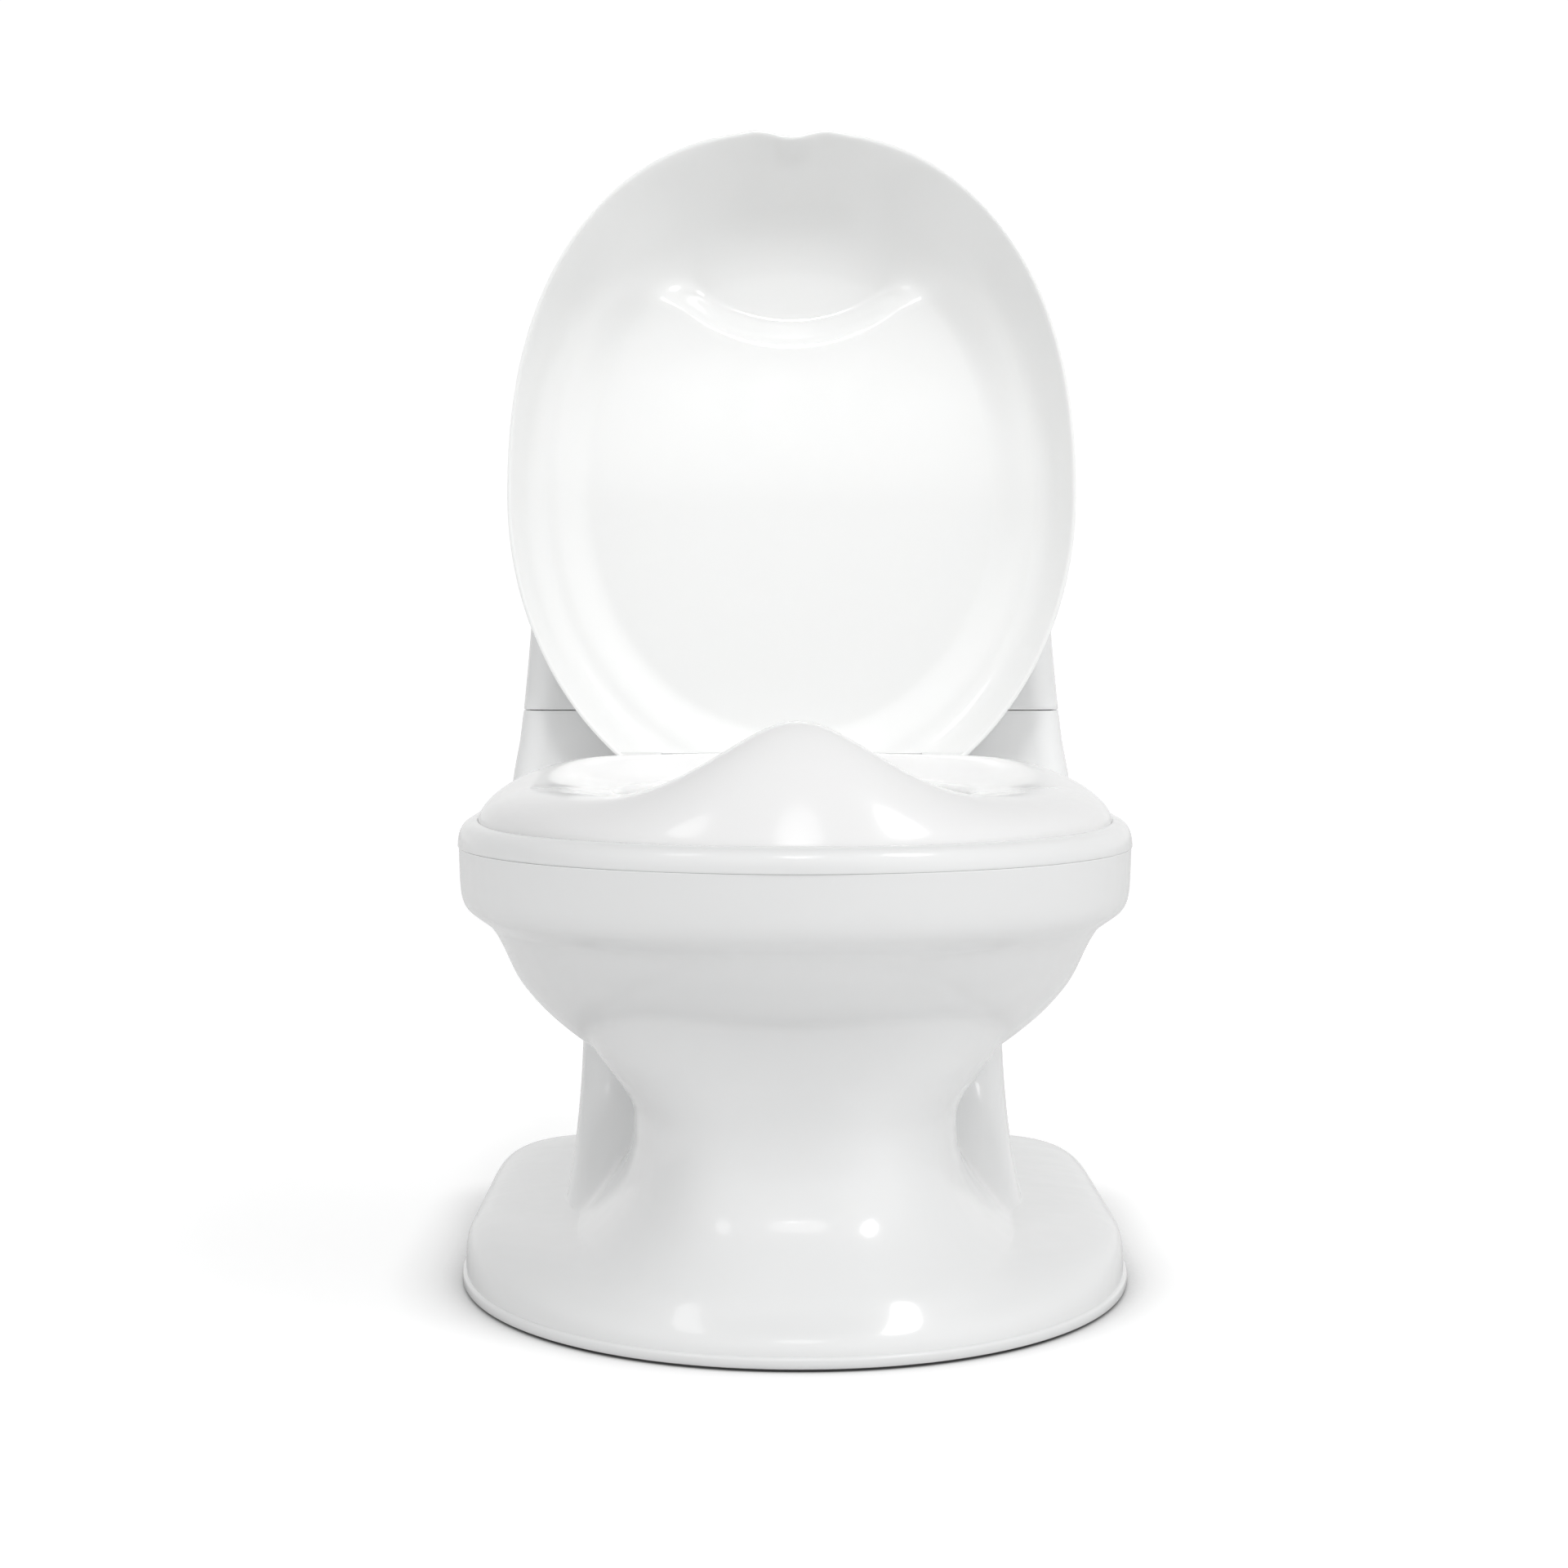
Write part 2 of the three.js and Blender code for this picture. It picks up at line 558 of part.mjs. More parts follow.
function lidShell() {
  const outer = lidSurface(0, 0);
  const inner = lidSurface(LID.skin, 2);
  const below = (ring, z) => ring.map((point) => point.clone().setZ(z));
  const shell = loft([below(outer[0], LID.edgeZ - 0.2), ...outer]);
  const hollow = loft([below(inner[0], LID.edgeZ - 5), ...inner]);
  const rearCut = block(-200, 200, HINGE_Y - LID_END, HINGE_Y + 100, 150, 300);
  const hingeRooms = bothSides((side) => {
    const [x0, x1] = spanX(side, [SEAT_KNUCKLE_X[0] - 0.6, EAR_X[1] + 0.2]);
    return barAlongX(HINGE_ROOM, x0, x1, HINGE_Y, HINGE_Z, 24);
  });
  const notch = post(LID_NOTCH.halfWidth, 0, LID.front - LID_NOTCH.halfWidth + LID_NOTCH.depth, 150, 300, 24);
  const dish = cutBy(shell.subtract(hollow), [rearCut, notch]);
  const knuckles = bothSides((side) => {
    const [x0, x1] = spanX(side, LID_KNUCKLE_X);
    const arm = block(x0, x1, HINGE_Y - 15, HINGE_Y, HINGE_Z - 1, HINGE_Z + KNUCKLE_RADIUS);
    return arm.add(barAlongX(KNUCKLE_RADIUS, x0, x1, HINGE_Y, HINGE_Z));
  });
  const rearWall = loft(
    lidSurface(0, 0).map((ring) => ring.map((point) => point.clone().setZ(Math.max(point.z, LID.edgeZ + 0.5)))),
  ).intersect(block(-200, 200, HINGE_Y - LID_END - 4, HINGE_Y - LID_END, 150, 300));
  const whole = joined([dish, rearWall, ...knuckles]);
  const pinHole = barAlongX(PIN_HOLE, -LID_KNUCKLE_X[1] - 1, LID_KNUCKLE_X[1] + 1, HINGE_Y, HINGE_Z);
  return cutBy(whole, [...hingeRooms, pinHole]);
}

// ---- pan ----
const PAN_TOP_Z = DECK_Z + GAP;
const PAN_SIDES = 32;
const MOUTH_CLEARANCE = 1.5; // between the pan's wall and the collar of the deck

// The pan's wall: distance inwards from its mouth, and height from the flange.
const PAN_STEPS = [
  [0, 0],
  [3, -12],
  [7, -45],
  [13, -72],
  [24, -87],
  [42, -PAN_DEPTH],
];

function pan() {
  const flange = inset(OPENING_OUTLINE, PAN_CLEARANCE);
  const mouth = inset(panHole(), MOUTH_CLEARANCE);
  const ring = (step, rise) => outlineRing(inset(mouth, step), PAN_TOP_Z + rise, PAN_SIDES);
  const outside = PAN_STEPS.map(([step, z]) => ring(step, z)).reverse();
  const inside = PAN_STEPS.map(([step, z]) => ring(step + PAN_SKIN, z + PAN_SKIN)).reverse();
  const bowl = loft([...outside, ring(0, PAN_SKIN)]);
  const lip = loft([
    outlineRing(flange, PAN_TOP_Z, PAN_SIDES),
    outlineRing(flange, PAN_TOP_Z + 1.6, PAN_SIDES),
    outlineRing(inset(flange, 1), PAN_TOP_Z + PAN_SKIN, PAN_SIDES),
  ]);
  const hollow = loft([...inside, ring(PAN_SKIN, 20)]);
  return bowl.add(lip).subtract(hollow);
}

// ---- tank cover and what it carries ----
// Height above the seam, half width, set-back of the front from the seam's front.
const COVER_STATIONS = [
  [GAP, 127.6, 0],
  [26, 125.4, 1.6],
  [60, 123, 4.2],
  [88, 121, 6.6],
  [98, 120, 7.6],
  [103.5, 118, 9.6],
  [106.5, 113.6, 13.4],
];

const REAR_LEAN = 0.4; // the back's set-back as a share of the front's

const coverRing = ([rise, half, setback], wall) =>
  tankRing(half, TANK.frontY + setback, TANK.backY - setback * REAR_LEAN, wall, TANK.seamZ + rise);

const MODULE = { halfX: 47.5, front: 156, rear: 180, topZ: 325, bottomZ: 302, wall: 1.6 };

function tankCover() {
  const outer = loft(COVER_STATIONS.map((station) => coverRing(station, 0)));
  const inner = loft([
    coverRing([-2, TANK.halfWidth, 0], WALL),
    ...COVER_STATIONS.slice(1, -1).map((station) => coverRing(station, WALL)),
  ]);
  const hole = post(BUTTON.radius + 0.5, 0, BUTTON.y, 300, TANK.topZ + 5, 24);
  const hangers = [-1, 1].map((side) => {
    const x = side * (MODULE.halfX - 5);
    return post(3.5, x, BUTTON.y, MODULE.topZ + GAP, TANK.topZ - 2);
  });
  const knuckles = bothSides((side) => {
    const [x0, x1] = spanX(side, TANK_KNUCKLE_X);
    const arm = block(x0, x1, TANK.backY - 2, TANK_HINGE_Y + 1, TANK_HINGE_Z + 1, TANK_HINGE_Z + 9);
    return arm.add(barAlongX(TANK_KNUCKLE_RADIUS, x0, x1, TANK_HINGE_Y, TANK_HINGE_Z, 12));
  });
  const pinHole = barAlongX(TANK_PIN_HOLE, -TANK_PIN_X[1], TANK_PIN_X[1], TANK_HINGE_Y, TANK_HINGE_Z, 12);
  const reliefs = bothSides((side) => {
    const [x0, x1] = spanX(side, [TANK_EAR_X[0] - 0.6, TANK_EAR_X[1] + 0.3]);
    return barAlongX(TANK_KNUCKLE_RADIUS + 0.5, x0, x1, TANK_HINGE_Y, TANK_HINGE_Z, 12);
  });
  const shell = joined([outer.subtract(inner), ...hangers]);
  return cutBy(joined([cutBy(shell, [hole, ...reliefs]), ...knuckles]), [pinHole]);
}

const SWITCH_RISE = 4; // the switch's plunger above the module case
const BUTTON_FLANGE = { radius: 13.2, thickness: 1.6 };

// The button's dished cap, its skirt and the flange that keeps it in the cover.
function flushButton() {
  const top = TANK.topZ + BUTTON.proud;
  const flangeTop = TANK.topZ - 9.5;
  const profile = [
    [0, top - 1],
    [7, top - 0.6],
    [BUTTON.radius - 1.5, top],
    [BUTTON.radius, top - 1.5],
    [BUTTON.radius, flangeTop],
    [BUTTON_FLANGE.radius, flangeTop],
    [BUTTON_FLANGE.radius, flangeTop - BUTTON_FLANGE.thickness],
    [BUTTON.radius - 2, flangeTop - BUTTON_FLANGE.thickness],
    [BUTTON.radius - 2, top - 4],
    [0, top - 4],
  ];
  const stem = post(2, 0, BUTTON.y, MODULE.topZ + SWITCH_RISE + BUTTON.travel + GAP, top - 3, 12);
  return turned(profile.reverse(), 0, BUTTON.y, 0, 24).add(stem);
}

const SPRING = { radius: 6.5, wire: 0.7, turns: 4 };

class Helix extends THREE.Curve {
  constructor(radius, low, high, turns) {
    super();
    Object.assign(this, { radius, low, high, turns });
  }
  getPoint(t, target = new THREE.Vector3()) {
    const angle = 2 * Math.PI * this.turns * t;
    const z = this.low + (this.high - this.low) * t;
    return target.set(this.radius * Math.cos(angle), BUTTON.y + this.radius * Math.sin(angle), z);
  }
}

function buttonSpring() {
  const low = MODULE.topZ + GAP + SPRING.wire;
  const high = TANK.topZ + BUTTON.proud - 4 - GAP - SPRING.wire;
  const wire = new THREE.Shape().absarc(0, 0, SPRING.wire, 0, 2 * Math.PI);
  const extrudePath = new Helix(SPRING.radius, low, high, SPRING.turns);
  return solidOf(new THREE.ExtrudeGeometry(wire, { steps: 44, curveSegments: 2, bevelEnabled: false, extrudePath }));
}

function moduleCase() {
  const { halfX, front, rear, topZ, bottomZ, wall } = MODULE;
  const box = block(-halfX, halfX, front, rear, bottomZ, topZ);
  const room = block(-halfX + wall, halfX - wall, front + wall, rear - wall, bottomZ - 1, topZ - wall);
  const switchHole = block(-2.6, 2.6, BUTTON.y - 2.6, BUTTON.y + 2.6, topZ - wall - 1, topZ + 1);
  const doorPost = post(2.6, 0, MODULE.rear - 5, bottomZ + 2, topZ - wall + 0.5, 12);
  const screwHole = post(1.3, 0, MODULE.rear - 5, bottomZ, bottomZ + 12, 12);
  return cutBy(joined([box.subtract(room), doorPost]), [switchHole, screwHole]);
}

const CELL = { radius: 5.2, length: 44.5, y: 164, z: 308.6 };

function cell(side) {
  const x0 = side > 0 ? 0.4 : -CELL.length - 0.4;
  const body = barAlongX(CELL.radius, x0, x0 + CELL.length - 1.5, CELL.y, CELL.z, 16);
  return body.add(barAlongX(1.9, x0 + 1, x0 + CELL.length, CELL.y, CELL.z, 12));
}

const BOARD = { halfX: 40, front: 159, rear: 178, z: 317, thickness: 1.2 };
const SPEAKER = { x: 30, y: 173, radius: 4.3 };

function circuitBoard() {
  const board = block(-BOARD.halfX, BOARD.halfX, BOARD.front, BOARD.rear, BOARD.z, BOARD.z + BOARD.thickness);
  return board.subtract(post(3, 0, MODULE.rear - 5, BOARD.z - 1, BOARD.z + 3, 12));
}

function tactSwitch() {
  const base = BOARD.z + BOARD.thickness + GAP;
  const body = block(-3, 3, BUTTON.y - 3, BUTTON.y + 3, base, base + 3.6);
  return body.add(post(1.6, 0, BUTTON.y, base + 3, MODULE.topZ + SWITCH_RISE, 12));
}

function speaker() {
  const profile = [
    [0, 0],
    [SPEAKER.radius - 1, 0],
    [SPEAKER.radius, 1],
    [SPEAKER.radius, 5],
    [1.5, 5],
    [0, 4],
  ];
  return turned(profile, SPEAKER.x, SPEAKER.y, BOARD.z - 5.4, 20);
}

function batteryDoor() {
  const { halfX, front, rear, bottomZ } = MODULE;
  const plate = block(-halfX, halfX, front, rear, bottomZ - 2 - GAP, bottomZ - GAP);
  const ribs = [-1, 1].map((side) => {
    const x = side * (halfX - 6);
    return block(x - 2, x + 2, front + 2.2, rear - 8, bottomZ - 1, bottomZ + 0.8);
  });
  return joined([plate, ...ribs]).subtract(post(1.6, 0, rear - 5, bottomZ - 4, bottomZ + 1, 12));
}

// A pan-head screw with its head at the bottom.
const screw = (x, y, headZ, radius, length) => {
  const head = radius * 1.9;
  const profile = [
    [0, 0.5],
    [radius * 0.6, 0],
    [head, 0.3],
    [head, radius],
    [radius, radius * 1.2],
    [radius, length - 1],
    [0, length],
  ];
  return turned(profile, x, y, headZ, 12);
};

// ---- pins, pads and bumpers ----
function hingePin(side) {
  const shank = barAlongX(PIN_RADIUS, ...spanX(side, PIN_X), HINGE_Y, HINGE_Z);
  return shank.add(barAlongX(PIN_HEAD.radius, ...spanX(side, PIN_HEAD.x), HINGE_Y, HINGE_Z));
}

const tankPin = (side) => barAlongX(TANK_PIN_RADIUS, ...spanX(side, TANK_PIN_X), TANK_HINGE_Y, TANK_HINGE_Z, 12);

const pad = (x, y) => {
  const profile = [
    [0, 0],
    [PAD_RADIUS - 0.5, 0],
    [PAD_RADIUS, 0.5],
    [PAD_RADIUS, PAD_HEIGHT],
    [0, PAD_HEIGHT],
  ];
  return turned(profile, x, y, 0);
};

const SEAT_BUMPERS = [
  ["front_left", -70, -140],
  ["front_right", 70, -140],
  ["rear_left", -98, 26],
  ["rear_right", 98, 26],
];
const BUMPER_RADIUS = 5;

// A bumper under the seat: a foot that nearly touches the deck, and a stem up into the seat's hollow.
const seatBumper = (x, y) => {
  const profile = [
    [0, 0.3],
    [BUMPER_RADIUS - 1, 0.3],
    [BUMPER_RADIUS, 1.3],
    [BUMPER_RADIUS, 9],
    [0, 9],
  ];
  return turned(profile, x, y, DECK_Z);
};

// ---- assembly ----
const chair = new THREE.Group();

function add(name, solid, material, parent = chair) {
  const mesh = new THREE.Mesh(geometryOf(solid), material);
  mesh.name = name;
  parent.add(mesh);
}

const SIDE_NAMES = [
  ["left", -1],
  ["right", 1],
];

function addBase() {
  add("base_shell", baseShell(), SHELL_WHITE);
  add("upper_shell", upperShell(), SHELL_WHITE);
  PAD_PLACES.forEach(([place, x, y]) => add(`foot_pad_${place}`, pad(x, y), RUBBER));
  screwPlaces.forEach(([x, y], i) => add(`shell_screw_${i + 1}`, screw(x, y, LUG_Z - 2, 1.6, 12), STEEL));
  SIDE_NAMES.forEach(([name, side]) => {
    add(`hinge_pin_${name}`, hingePin(side), GREY_PLASTIC);
    add(`tank_hinge_pin_${name}`, tankPin(side), STEEL);
  });
}

function addSeatAndPan() {
  add("seat_ring", seatRing(), SEAT_WHITE);
  SEAT_BUMPERS.forEach(([place, x, y]) => add(`seat_bumper_${place}`, seatBumper(x, y), RUBBER));
  add("pan", pan(), PAN_WHITE);
}

function addLid() {
  const hinge = new THREE.Group();
  hinge.position.set(0, HINGE_Y, HINGE_Z);
  hinge.rotation.x = THREE.MathUtils.degToRad(-LID_OPEN_DEG);
  const toHinge = new THREE.Group();
  toHinge.position.set(0, -HINGE_Y, -HINGE_Z);
  hinge.add(toHinge);
  add("lid", lidShell(), LID_WHITE, toHinge);
  chair.add(hinge);
}

function addTankCover() {
  add("tank_cover", tankCover(), SHELL_WHITE);
  add("flush_button", flushButton(), GREY_PLASTIC);
  add("button_spring", buttonSpring(), STEEL);
  add("sound_module_case", moduleCase(), GREY_PLASTIC);
  add("circuit_board", circuitBoard(), BOARD_GREEN);
  add("tact_switch", tactSwitch(), SPEAKER_BLACK);
  add("speaker", speaker(), SPEAKER_BLACK);
  SIDE_NAMES.forEach(([name, side]) => add(`battery_${name}`, cell(side), CELL_GREY));
  add("battery_door", batteryDoor(), GREY_PLASTIC);
  add("battery_door_screw", screw(0, MODULE.rear - 5, MODULE.bottomZ - 4.6, 1.1, 9), STEEL);
}

addBase();
addSeatAndPan();
addLid();
addTankCover();

export default chair;
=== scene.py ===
"""Looks of the potty training chair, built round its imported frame.

Lengths are millimetres until a mesh is made. +Z is up and the chair faces -Y. Every moulding that shows is
remade as a fine mesh on the sizes of its CAD node, and small inner parts keep their CAD mesh with bevels.
"""

import json
import math

import bpy
import numpy as np
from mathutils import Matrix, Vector

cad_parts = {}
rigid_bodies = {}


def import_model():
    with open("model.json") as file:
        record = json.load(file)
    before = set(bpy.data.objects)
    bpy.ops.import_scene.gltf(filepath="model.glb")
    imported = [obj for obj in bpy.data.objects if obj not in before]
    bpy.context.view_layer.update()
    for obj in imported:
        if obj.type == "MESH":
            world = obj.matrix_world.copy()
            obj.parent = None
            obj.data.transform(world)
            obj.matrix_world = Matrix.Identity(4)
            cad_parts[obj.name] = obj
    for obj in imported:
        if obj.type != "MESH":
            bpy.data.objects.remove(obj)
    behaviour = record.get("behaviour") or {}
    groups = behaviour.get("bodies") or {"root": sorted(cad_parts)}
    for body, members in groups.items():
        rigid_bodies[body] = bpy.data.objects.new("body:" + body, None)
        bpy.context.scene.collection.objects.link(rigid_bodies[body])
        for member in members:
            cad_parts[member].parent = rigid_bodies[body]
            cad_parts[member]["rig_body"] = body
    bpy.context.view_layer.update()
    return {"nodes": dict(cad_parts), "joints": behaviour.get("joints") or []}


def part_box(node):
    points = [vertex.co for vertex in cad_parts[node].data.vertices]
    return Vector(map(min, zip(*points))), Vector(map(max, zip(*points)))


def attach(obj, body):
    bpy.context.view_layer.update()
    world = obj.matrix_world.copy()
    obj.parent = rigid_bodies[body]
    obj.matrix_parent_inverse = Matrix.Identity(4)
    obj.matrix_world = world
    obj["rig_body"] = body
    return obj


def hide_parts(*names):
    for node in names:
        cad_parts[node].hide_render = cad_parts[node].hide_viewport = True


MM = 0.001
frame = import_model()


# ---- sizes, from the frame where it says them ----
def box_mm(node):
    low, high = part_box(node)
    return np.array(low) / MM, np.array(high) / MM


def joint_origin(name):
    joint = next(j for j in frame["joints"] if j["name"] == name)
    return np.array(joint["pos_m"]) / MM


BASE_HIGH = box_mm("base_shell")[1]
COVER_HIGH = box_mm("tank_cover")[1]
RIM_HALF = 141.0
RIM_FRONT = -195.0
RIM_REAR = 190.0
RIM_MIDDLE = -22.0  # the widest line of the bowl and the rim
BAND_TOP = BASE_HIGH[2]
DECK_TOP = BAND_TOP + 9
DECK_SKIN = 3.0
WALL = 3.0
GAP = 0.3
HUB_Y = 70.0  # every radius of the base shell starts on this vertical line

HINGE = joint_origin("lid_hinge")
TANK_HINGE = joint_origin("tank_cover_hinge")
LID_OPEN = math.radians(95)

RIM_AROUND = 320
SEAT_AROUND = 256
LID_AROUND = 320
SHARP_ANGLE = math.radians(38)


def outline(half, front, rear, middle, front_power=2.0, rear_power=2.0):
    """A plan outline: a superellipse with its own reach and power before and behind its widest line."""
    return {
        "half": half,
        "front": front,
        "rear": rear,
        "middle": middle,
        "front_power": front_power,
        "rear_power": rear_power,
    }


def inset(line, amount):
    smaller = dict(line)
    smaller["half"] = line["half"] - amount
    smaller["front"] = line["front"] + amount
    smaller["rear"] = line["rear"] - amount
    return smaller


RIM = outline(RIM_HALF, RIM_FRONT, RIM_REAR, RIM_MIDDLE, rear_power=9)
SEAT = outline(132.1, -186.5, 98, -28, rear_power=2.2)
OPENING = outline(75, -124, 62, -31)
LID = outline(132.5, -195, 132, -23, front_power=2.3)
PAN_HOLE = inset(OPENING, 8)

# The body is the outermost of four forms at every height.
# Each row holds a height, half width, front and rear.
FOOT_ROWS = [
    [5.4, 138.6, -195.4, 195.5],
    [8, 138.5, -194.6, 195.3],
    [11, 138.4, -192.6, 195],
    [16.5, 138, -184, 194],
    [21, 136, -172, 192.5],
    [24, 131.5, -161, 190.5],
    [26, 124.5, -149, 187],
    [27.4, 114, -136, 180],
    [28.2, 101, -118, 168],
    [28.8, 85, -90, 145],
    [29.2, 60, -50, 110],
]
PEDESTAL_ROWS = [
    [1, 100, -172, 100],
    [8, 100, -179.5, 100],
    [12, 100, -182.6, 100],
    [16, 100, -184.6, 100],
    [18, 99.5, -184.2, 100],
    [20, 99, -183.1, 100],
    [23, 97, -180.8, 100],
    [26, 93.5, -178, 100],
    [32, 85, -172.2, 100],
    [40, 77, -164.3, 100],
    [49, 71, -157.5, 100],
    [57, 68.3, -153.5, 100],
    [63, 67.2, -151, 100],
    [70, 67, -149, 100],
    [78, 68, -147.3, 100],
    [84, 71, -146.4, 100],
    [90, 75.5, -145.7, 100],
    [95, 79.5, -145.3, 100],
    [101, 84, -145, 100],
    [110, 88, -145, 100],
    [121, 91, -146, 100],
    [135, 93, -148, 100],
    [150, 94, -150, 100],
]
COLUMN_ROWS = [
    [1, 99, -60, 183],
    [22, 99, -60, 184],
    [26, 98.5, -52, 184],
    [31, 98, -35, 185],
    [38, 97.3, -10, 185],
    [48, 96.4, 15, 185],
    [60, 95.6, 32, 185],
    [75, 94.8, 43, 185],
    [100, 94, 50, 185],
    [125, 91, 50, 177],
    [147, 80, 50, 160],
    [170, 65, 50, 145],
]
# The bowl's rows also hold the power of its rear corners.
BOWL_ROWS = [
    [84, 60, -75, 92, 2.2],
    [90, 72, -88, 100, 2.4],
    [98.4, 86, -105, 112, 2.6],
    [106, 96, -120, 124, 3],
    [113.5, 104.3, -133.5, 137, 3.4],
    [121, 111, -147, 151, 4.2],
    [128, 116, -157.5, 163, 5],
    [134, 119, -165, 171, 6],
    [142, 122.6, -174, 178.5, 7],
    [147, 125.4, -178.5, 181, 7.7],
    [149.5, 127.3, -181, 182, 8],
    [152, 130.4, -184.5, 183.5, 8.2],
    [155, 134.6, -189, 186, 8.5],
    [157.6, 137.4, -191.5, 187.6, 8.7],
    [160.5, 138.8, -192.8, 188.3, 9],
    [168, 139.9, -193.9, 189, 9],
    [181.5, 140.4, -194.5, 189.6, 9],
]
FOOT_MIDDLE = -7
PEDESTAL_MIDDLE = -14
COLUMN_MIDDLE = 90
FRONT_POWER = 2.05
PEDESTAL_POWER = 2.8
COLUMN_BLEND = 4.0  # how softly the foot, the pedestal and the column run into each other
BOWL_BLEND = 1.4  # the bowl meets the pedestal in a tight crease

FOOT = outline(140, -197, 197, FOOT_MIDDLE, FRONT_POWER, 9)
# Step inwards from the foot's outline, and height, up the rounded bead at the floor.
BEAD = [[0.9, 1], [0.3, 1.15], [0, 1.7], [0, 4.1], [0.2, 4.7], [0.7, 5.1]]
RIM_EDGE = [[0.0, 0.4], [0.06, 0.55], [0.3, 0.62]]  # step inwards, and rise above the bowl's last row


# ---- meshes ----
def new_object(name, points, faces):
    mesh = bpy.data.meshes.new(name)
    mesh.from_pydata((np.asarray(points, float) * MM).tolist(), [], faces)
    mesh.update()
    obj = bpy.data.objects.new(name, mesh)
    bpy.context.scene.collection.objects.link(obj)
    return obj


def loft(name, rings, closed=False):
    """A solid through rings of equal length, counterclockwise from above, lowest first.
    With closed the last ring joins the first, otherwise both ends get a cap."""
    rings = np.asarray(rings, float)
    count, sides = rings.shape[:2]
    index = np.arange(count * sides).reshape(count, sides)
    low = index if closed else index[:-1]
    high = np.roll(index, -1, axis=0) if closed else index[1:]
    quads = np.stack([low, np.roll(low, -1, 1), np.roll(high, -1, 1), high], axis=-1)
    faces = quads.reshape(-1, 4).tolist()
    if not closed:
        faces.append(index[0][::-1].tolist())
        faces.append(index[-1].tolist())
    return new_object(name, rings.reshape(-1, 3), faces)


def combine(obj, others, operation):
    """Joins the others to obj, or cuts them out of it, and removes them."""
    for other in others:
        step = obj.modifiers.new("combine", "BOOLEAN")
        step.operation = operation
        step.solver = "EXACT"
        step.object = other
    graph = bpy.context.evaluated_depsgraph_get()
    mesh = bpy.data.meshes.new_from_object(obj.evaluated_get(graph))
    obj.modifiers.clear()
    obj.data = mesh
    for other in others:
        bpy.data.objects.remove(other)
    return obj


def join(obj, *others):
    return combine(obj, others, "UNION")


def cut(obj, *others):
    return combine(obj, others, "DIFFERENCE")


def revolve(name, profile, centre, axis="z", sides=64):
    """A solid of revolution. The profile holds radius and height pairs from the low end to the high end."""
    angles = np.linspace(0, 2 * math.pi, sides, endpoint=False)
    rings = []
    for radius, height in profile:
        circle = [radius * np.cos(angles), radius * np.sin(angles), np.full(sides, height)]
        rings.append(np.stack(circle, axis=-1))
    rings = np.array(rings)
    if axis == "x":
        rings = rings[:, :, [2, 0, 1]]
    return loft(name, rings + np.asarray(centre, float))


def rounded_bar(name, radius, x0, x1, y, z, edge=0.6, sides=64):
    """A round bar along X with rounded ends."""
    arc = np.linspace(0, math.pi / 2, 5)
    low = [[radius - edge + edge * math.sin(a), x0 + edge - edge * math.cos(a)] for a in arc]
    high = [[radius - edge + edge * math.cos(a), x1 - edge + edge * math.sin(a)] for a in arc]
    return revolve(name, low + high, (0, y, z), "x", sides)


def post(name, radius, x, y, z0, z1, sides=48):
    return revolve(name, [[radius, z0], [radius, z1]], (x, y, 0), "z", sides)


def bar(name, radius, x0, x1, y, z, sides=64):
    return revolve(name, [[radius, x0], [radius, x1]], (0, y, z), "x", sides)


def block(name, x, y, z):
    """A box over three ranges."""
    corners = [[x[i], y[j], z[k]] for k in (0, 1) for i, j in ((0, 0), (1, 0), (1, 1), (0, 1))]
    return loft(name, np.array(corners).reshape(2, 4, 3))


def span(side, pair):
    return pair if side > 0 else (-pair[1], -pair[0])


# ---- outlines ----
def reach_of(line, y):
    ahead = np.asarray(y) < line["middle"]
    reach = np.where(ahead, line["middle"] - line["front"], line["rear"] - line["middle"])
    power = np.where(ahead, line["front_power"], line["rear_power"])
    return reach, power


def gauge(line, x, y):
    """1 on the outline, less inside it."""
    reach, power = reach_of(line, y)
    across = np.abs(x / line["half"]) ** power
    return (across + np.abs((y - line["middle"]) / reach) ** power) ** (1 / power)


def angle_ring(line, count):
    """Points round an outline, counterclockwise from its right-hand side, closer together at its corners."""
    angle = np.linspace(0, 2 * math.pi, count, endpoint=False)
    cosine, sine = np.cos(angle), np.sin(angle)
    reach, power = reach_of(line, line["middle"] + sine)
    power = np.minimum(power, 5)
    x = np.sign(cosine) * np.abs(cosine) ** (2 / power) * line["half"]
    y = np.sign(sine) * np.abs(sine) ** (2 / power) * reach
    size = gauge(line, x, line["middle"] + y)
    return np.stack([x / size, line["middle"] + y / size], axis=-1)


def even_ring(line, count):
    """Points round an outline at equal steps along it."""
    fine = angle_ring(line, 6000)
    loop = np.vstack([fine, fine[:1]])
    along = np.concatenate([[0], np.cumsum(np.linalg.norm(np.diff(loop, axis=0), axis=1))])
    steps = np.linspace(0, along[-1], count, endpoint=False)
    return np.stack([np.interp(steps, along, loop[:, i]) for i in (0, 1)], axis=-1)


def directions_from(centre, ring):
    away = ring - np.asarray(centre, float)
    return away / np.linalg.norm(away, axis=1, keepdims=True)


def distance_to(line, centre, directions):
    """How far the outline is from the centre in each direction."""
    near = np.zeros(len(directions))
    far = np.full(len(directions), 450.0)
    for _ in range(42):
        middle = (near + far) / 2
        point = np.asarray(centre) + directions * middle[:, None]
        inside = gauge(line, point[:, 0], point[:, 1]) < 1
        near = np.where(inside, middle, near)
        far = np.where(inside, far, middle)
    return near


def ring_along(line, centre, directions, z):
    points = np.asarray(centre) + directions * distance_to(line, centre, directions)[:, None]
    return at_height(points, z)


def at_height(points, z):
    heights = np.broadcast_to(z, len(points))
    return np.column_stack([points, heights])


